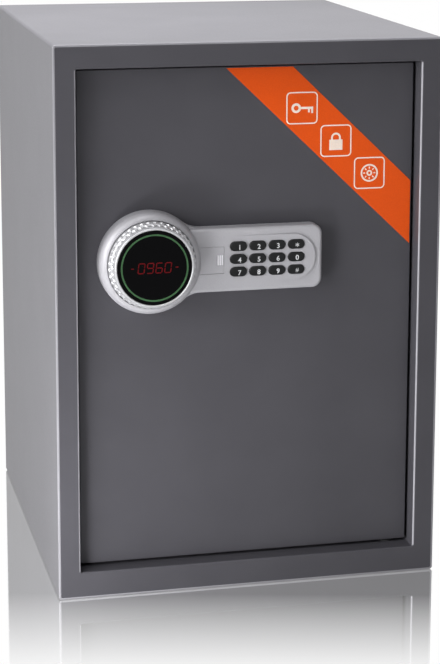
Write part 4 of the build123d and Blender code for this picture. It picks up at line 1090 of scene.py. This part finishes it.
def screwShape(length):
    # head towards +z at the origin, shank down
    shank, head, steps = screw["shankRadius"], screw["headRadius"], screw["steps"]
    profile = [(shank * screw["tipShare"], -length), (shank, screw["tipLong"] - length), (shank, 0.0),
               (head, 0.0)]
    for k in range(1, screw["domeSteps"]):
        rise = math.pi / 2 * k / screw["domeSteps"]
        radius = head * math.cos(rise) ** screw["domeFullness"]
        profile.append((radius, screw["headHeight"] * math.sin(rise)))

    def build(shape):
        turns = [2 * math.pi * k / steps for k in range(steps)]
        rings = [[shape.verts.new((r * math.cos(turn), r * math.sin(turn), z)) for turn in turns]
                 for r, z in profile]
        for here, there in zip(rings, rings[1:]):
            for k in range(steps):
                j = (k + 1) % steps
                shape.faces.new((here[k], here[j], there[j], there[k]))
        shape.faces.new(list(reversed(rings[0])))
        addCross(shape, rings[-1], profile[-1][1])
    return meshFrom(build, screw["smoothAngle"])


def looseParts(node):
    # the box of each separate solid of a node
    copy = bmesh.new()
    copy.from_mesh(node.data)
    bmesh.ops.remove_doubles(copy, verts=copy.verts, dist=mergeReach)
    left = set(copy.verts)
    boxes = []
    while left:
        group, edge = set(), [left.pop()]
        while edge:
            vertex = edge.pop()
            if vertex in group:
                continue
            group.add(vertex)
            left.discard(vertex)
            edge += [e.other_vert(vertex) for e in vertex.link_edges]
        low = Vector([min(v.co[i] for v in group) for i in range(3)])
        high = Vector([max(v.co[i] for v in group) for i in range(3)])
        boxes.append((low, high))
    copy.free()
    return sorted(boxes, key=lambda pair: tuple(pair[0]))


def makeScrews(node, piece):
    boxes = looseParts(nodes[node])
    length = boxes[0][1].y - boxes[0][0].y - screw["headHeight"]
    places = []
    for k, (low, high) in enumerate(boxes):
        # heads are on the inner side of the door, towards +y
        seat = Vector(((low.x + high.x) / 2, high.y - screw["headHeight"], (low.z + high.z) / 2))
        turn = math.radians(screw["firstTurn"] + screw["nextTurn"] * k)
        places.append((seat, (-math.pi / 2, turn, 0)))
    mesh = spreadShape(piece, places, screwShape(length), slotMaterials["screw_steel"], True)
    pieceFrom(piece, mesh, slotMaterials["screw_steel"], bodyOf[node], [node])


makeScrews("pan_screws", "inner_cover_screws")
makeScrews("panel_screws", "lock_panel_screws")
print("screws made")


# Studio: the camera fitted to the photo's edges, a pale glossy floor, soft lamps and a white surround

view = {
    "place": (-0.4256, -1.9216, 0.6913),
    "yaw": 13.693,                   # degrees, like pitch and roll
    "pitch": 10.578,
    "roll": 0.272,
    "focalPixels": 2046.84,
    "pictureWidth": 440,
    "pictureHeight": 664,
    "centreX": 246.955,              # where the lens's axis meets the picture, in pixels
    "centreY": 200.0,
    "sensor": 36.0,                  # the sensor's longer side, in millimetres
}

studio = {
    "floorHalf": 6.0,
    "floorColour": "#f4f4f4",
    "floorRoughness": 0.5,
    "mirrorRoughness": 0.03,
    "mirror": 0.85,                  # share of the reflection in the floor
    "mirrorFades": (1.593, 1.757),   # distances in front of the camera
    "mirrorNear": 0.1,               # share that is left nearer than that
    "mirrorReach": (0.14, 0.34),     # distances from the cabinet
    "mirrorFar": 0.04,               # share that is left farther than that
    "worldLight": 0.06,
    # each lamp: place, where it points, size in metres, power in watts, and whether gloss shows it
    "lamps": {
        "key": ((-2.0, -1.1, 0.62), (0.0, -0.1, 0.25), 1.2, 31.5, True),
        "high": ((-1.2, -0.6, 0.95), (0.0, -0.1, 0.25), 0.8, 9.0, True),
        "top": ((-0.12, 0.02, 1.1), (-0.05, 0.0, 0.5), 0.4, 11.2, False),
        "front top": ((-0.15, -0.5, 1.2), (-0.09, -0.2, 0.3), 0.3, 2.0, True),
        "floor glow": ((-0.33, -0.43, 0.07), (-0.08, -0.19, 0.06), 0.1, 1.2, False),
        "rear": ((1.9, 1.9, 0.9), (0.0, 0.1, 0.25), 1.4, 45.0, True),
    },
}


def cameraLike(tree):
    # 1 for what the camera, a reflection or a clear material sees
    path = addNode(tree, "ShaderNodeLightPath").outputs
    first = addNode(
        tree, "ShaderNodeMath", {0: path["Is Camera Ray"], 1: path["Is Glossy Ray"]}, operation="MAXIMUM"
    )
    return addNode(tree, "ShaderNodeMath", {0: first, 1: path["Is Transmission Ray"]}, operation="MAXIMUM")


def mirrorShare(tree, place):
    # the reflection fades towards the picture's lower edge, and with the distance from the cabinet
    full = studio["mirror"]
    yaw = math.radians(view["yaw"])
    ahead = Vector((math.sin(yaw), math.cos(yaw), 0))
    near, far = (distance + ahead.dot(Vector(view["place"])) for distance in studio["mirrorFades"])
    depth = addNode(tree, "ShaderNodeVectorMath", {0: place, 1: ahead}, operation="DOT_PRODUCT")
    below = addNode(
        tree, "ShaderNodeMapRange",
        {"Value": depth, "From Min": near, "From Max": far, "To Min": studio["mirrorNear"], "To Max": full}
    )
    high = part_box("cabinet_wrap")[1]
    absolute = addNode(tree, "ShaderNodeVectorMath", {0: place}, operation="ABSOLUTE")
    offset = addNode(
        tree, "ShaderNodeVectorMath", {0: absolute, 1: (high.x, high.y, 0)}, operation="SUBTRACT"
    )
    beside = addNode(tree, "ShaderNodeVectorMath", {0: offset, 1: (0, 0, 0)}, operation="MAXIMUM")
    away = addNode(tree, "ShaderNodeVectorMath", {0: beside}, operation="LENGTH")
    start, end = studio["mirrorReach"]
    around = addNode(
        tree, "ShaderNodeMapRange",
        {"Value": away, "From Min": start, "From Max": end, "To Min": full, "To Max": studio["mirrorFar"]}
    )
    return addNode(tree, "ShaderNodeMath", {0: below, 1: around}, operation="MINIMUM")


def makeFloor():
    # a polished white sheet: plain and pale for the lamps, white with a reflection for the camera
    half = studio["floorHalf"]
    mesh = meshFrom(lambda shape: bmesh.ops.create_grid(shape, x_segments=1, y_segments=1, size=half))
    if mesh.polygons[0].normal.z < 0:
        mesh.flip_normals()
    floor = bpy.data.objects.new("floor", mesh)
    bpy.context.scene.collection.objects.link(floor)
    material, tree, shader, place = newMaterial("white acrylic sheet")
    setInputs(tree, shader, {
        "Base Color": linearColour(studio["floorColour"]), "Roughness": studio["floorRoughness"]
    })
    white = addNode(tree, "ShaderNodeEmission", {"Color": (1, 1, 1, 1), "Strength": 1.0})
    gloss = addNode(
        tree, "ShaderNodeBsdfGlossy", {"Color": (1, 1, 1, 1), "Roughness": studio["mirrorRoughness"]}
    )
    sheet = addNode(tree, "ShaderNodeMixShader", {"Fac": mirrorShare(tree, place), 1: white, 2: gloss})
    seen = addNode(tree, "ShaderNodeMixShader", {"Fac": cameraLike(tree), 1: shader, 2: sheet})
    output = next(node for node in tree.nodes if node.type == "OUTPUT_MATERIAL")
    setInputs(tree, output, {"Surface": seen})
    mesh.materials.append(material)


def makeWorld():
    world = bpy.data.worlds.new("studio")
    bpy.context.scene.world = world
    world.use_nodes = True
    tree = world.node_tree
    tree.nodes.clear()
    strength = addNode(
        tree, "ShaderNodeMapRange",
        {"Value": cameraLike(tree), "To Min": studio["worldLight"], "To Max": 1.0}
    )
    background = addNode(tree, "ShaderNodeBackground", {"Color": (1, 1, 1, 1), "Strength": strength})
    addNode(tree, "ShaderNodeOutputWorld", {"Surface": background})


def makeLamp(name, place, aim, size, power, glints):
    lamp = bpy.data.lights.new(name, "AREA")
    lamp.shape = "SQUARE"
    lamp.size = size
    lamp.energy = power
    holder = bpy.data.objects.new(name, lamp)
    holder.location = place
    holder.visible_camera = False
    holder.visible_glossy = glints
    holder.rotation_euler = (Vector(aim) - Vector(place)).to_track_quat("-Z", "Y").to_euler()
    bpy.context.scene.collection.objects.link(holder)


makeFloor()
makeWorld()
for name, settings in studio["lamps"].items():
    makeLamp(name + " lamp", *settings)
print("studio made")


# Camera

def makeCamera():
    yaw, pitch, roll = (math.radians(view[key]) for key in ("yaw", "pitch", "roll"))
    ahead = Vector((math.sin(yaw) * math.cos(pitch), math.cos(yaw) * math.cos(pitch), -math.sin(pitch)))
    level = Vector((math.cos(yaw), -math.sin(yaw), 0))
    upright = level.cross(ahead)
    right = level * math.cos(roll) + upright * math.sin(roll)
    up = upright * math.cos(roll) - level * math.sin(roll)
    lens = bpy.data.cameras.new("camera")
    longSide = max(view["pictureWidth"], view["pictureHeight"])
    lens.sensor_width = view["sensor"]
    lens.lens = view["focalPixels"] * view["sensor"] / longSide
    lens.shift_x = (view["pictureWidth"] / 2 - view["centreX"]) / longSide
    lens.shift_y = -(view["pictureHeight"] / 2 - view["centreY"]) / longSide
    holder = bpy.data.objects.new("camera", lens)
    turn = Matrix((right, up, -ahead)).transposed().to_4x4()
    holder.matrix_world = Matrix.Translation(view["place"]) @ turn
    bpy.context.scene.collection.objects.link(holder)
    bpy.context.scene.camera = holder


makeCamera()
bpy.context.scene.view_settings.view_transform = "Standard"
print("camera set")
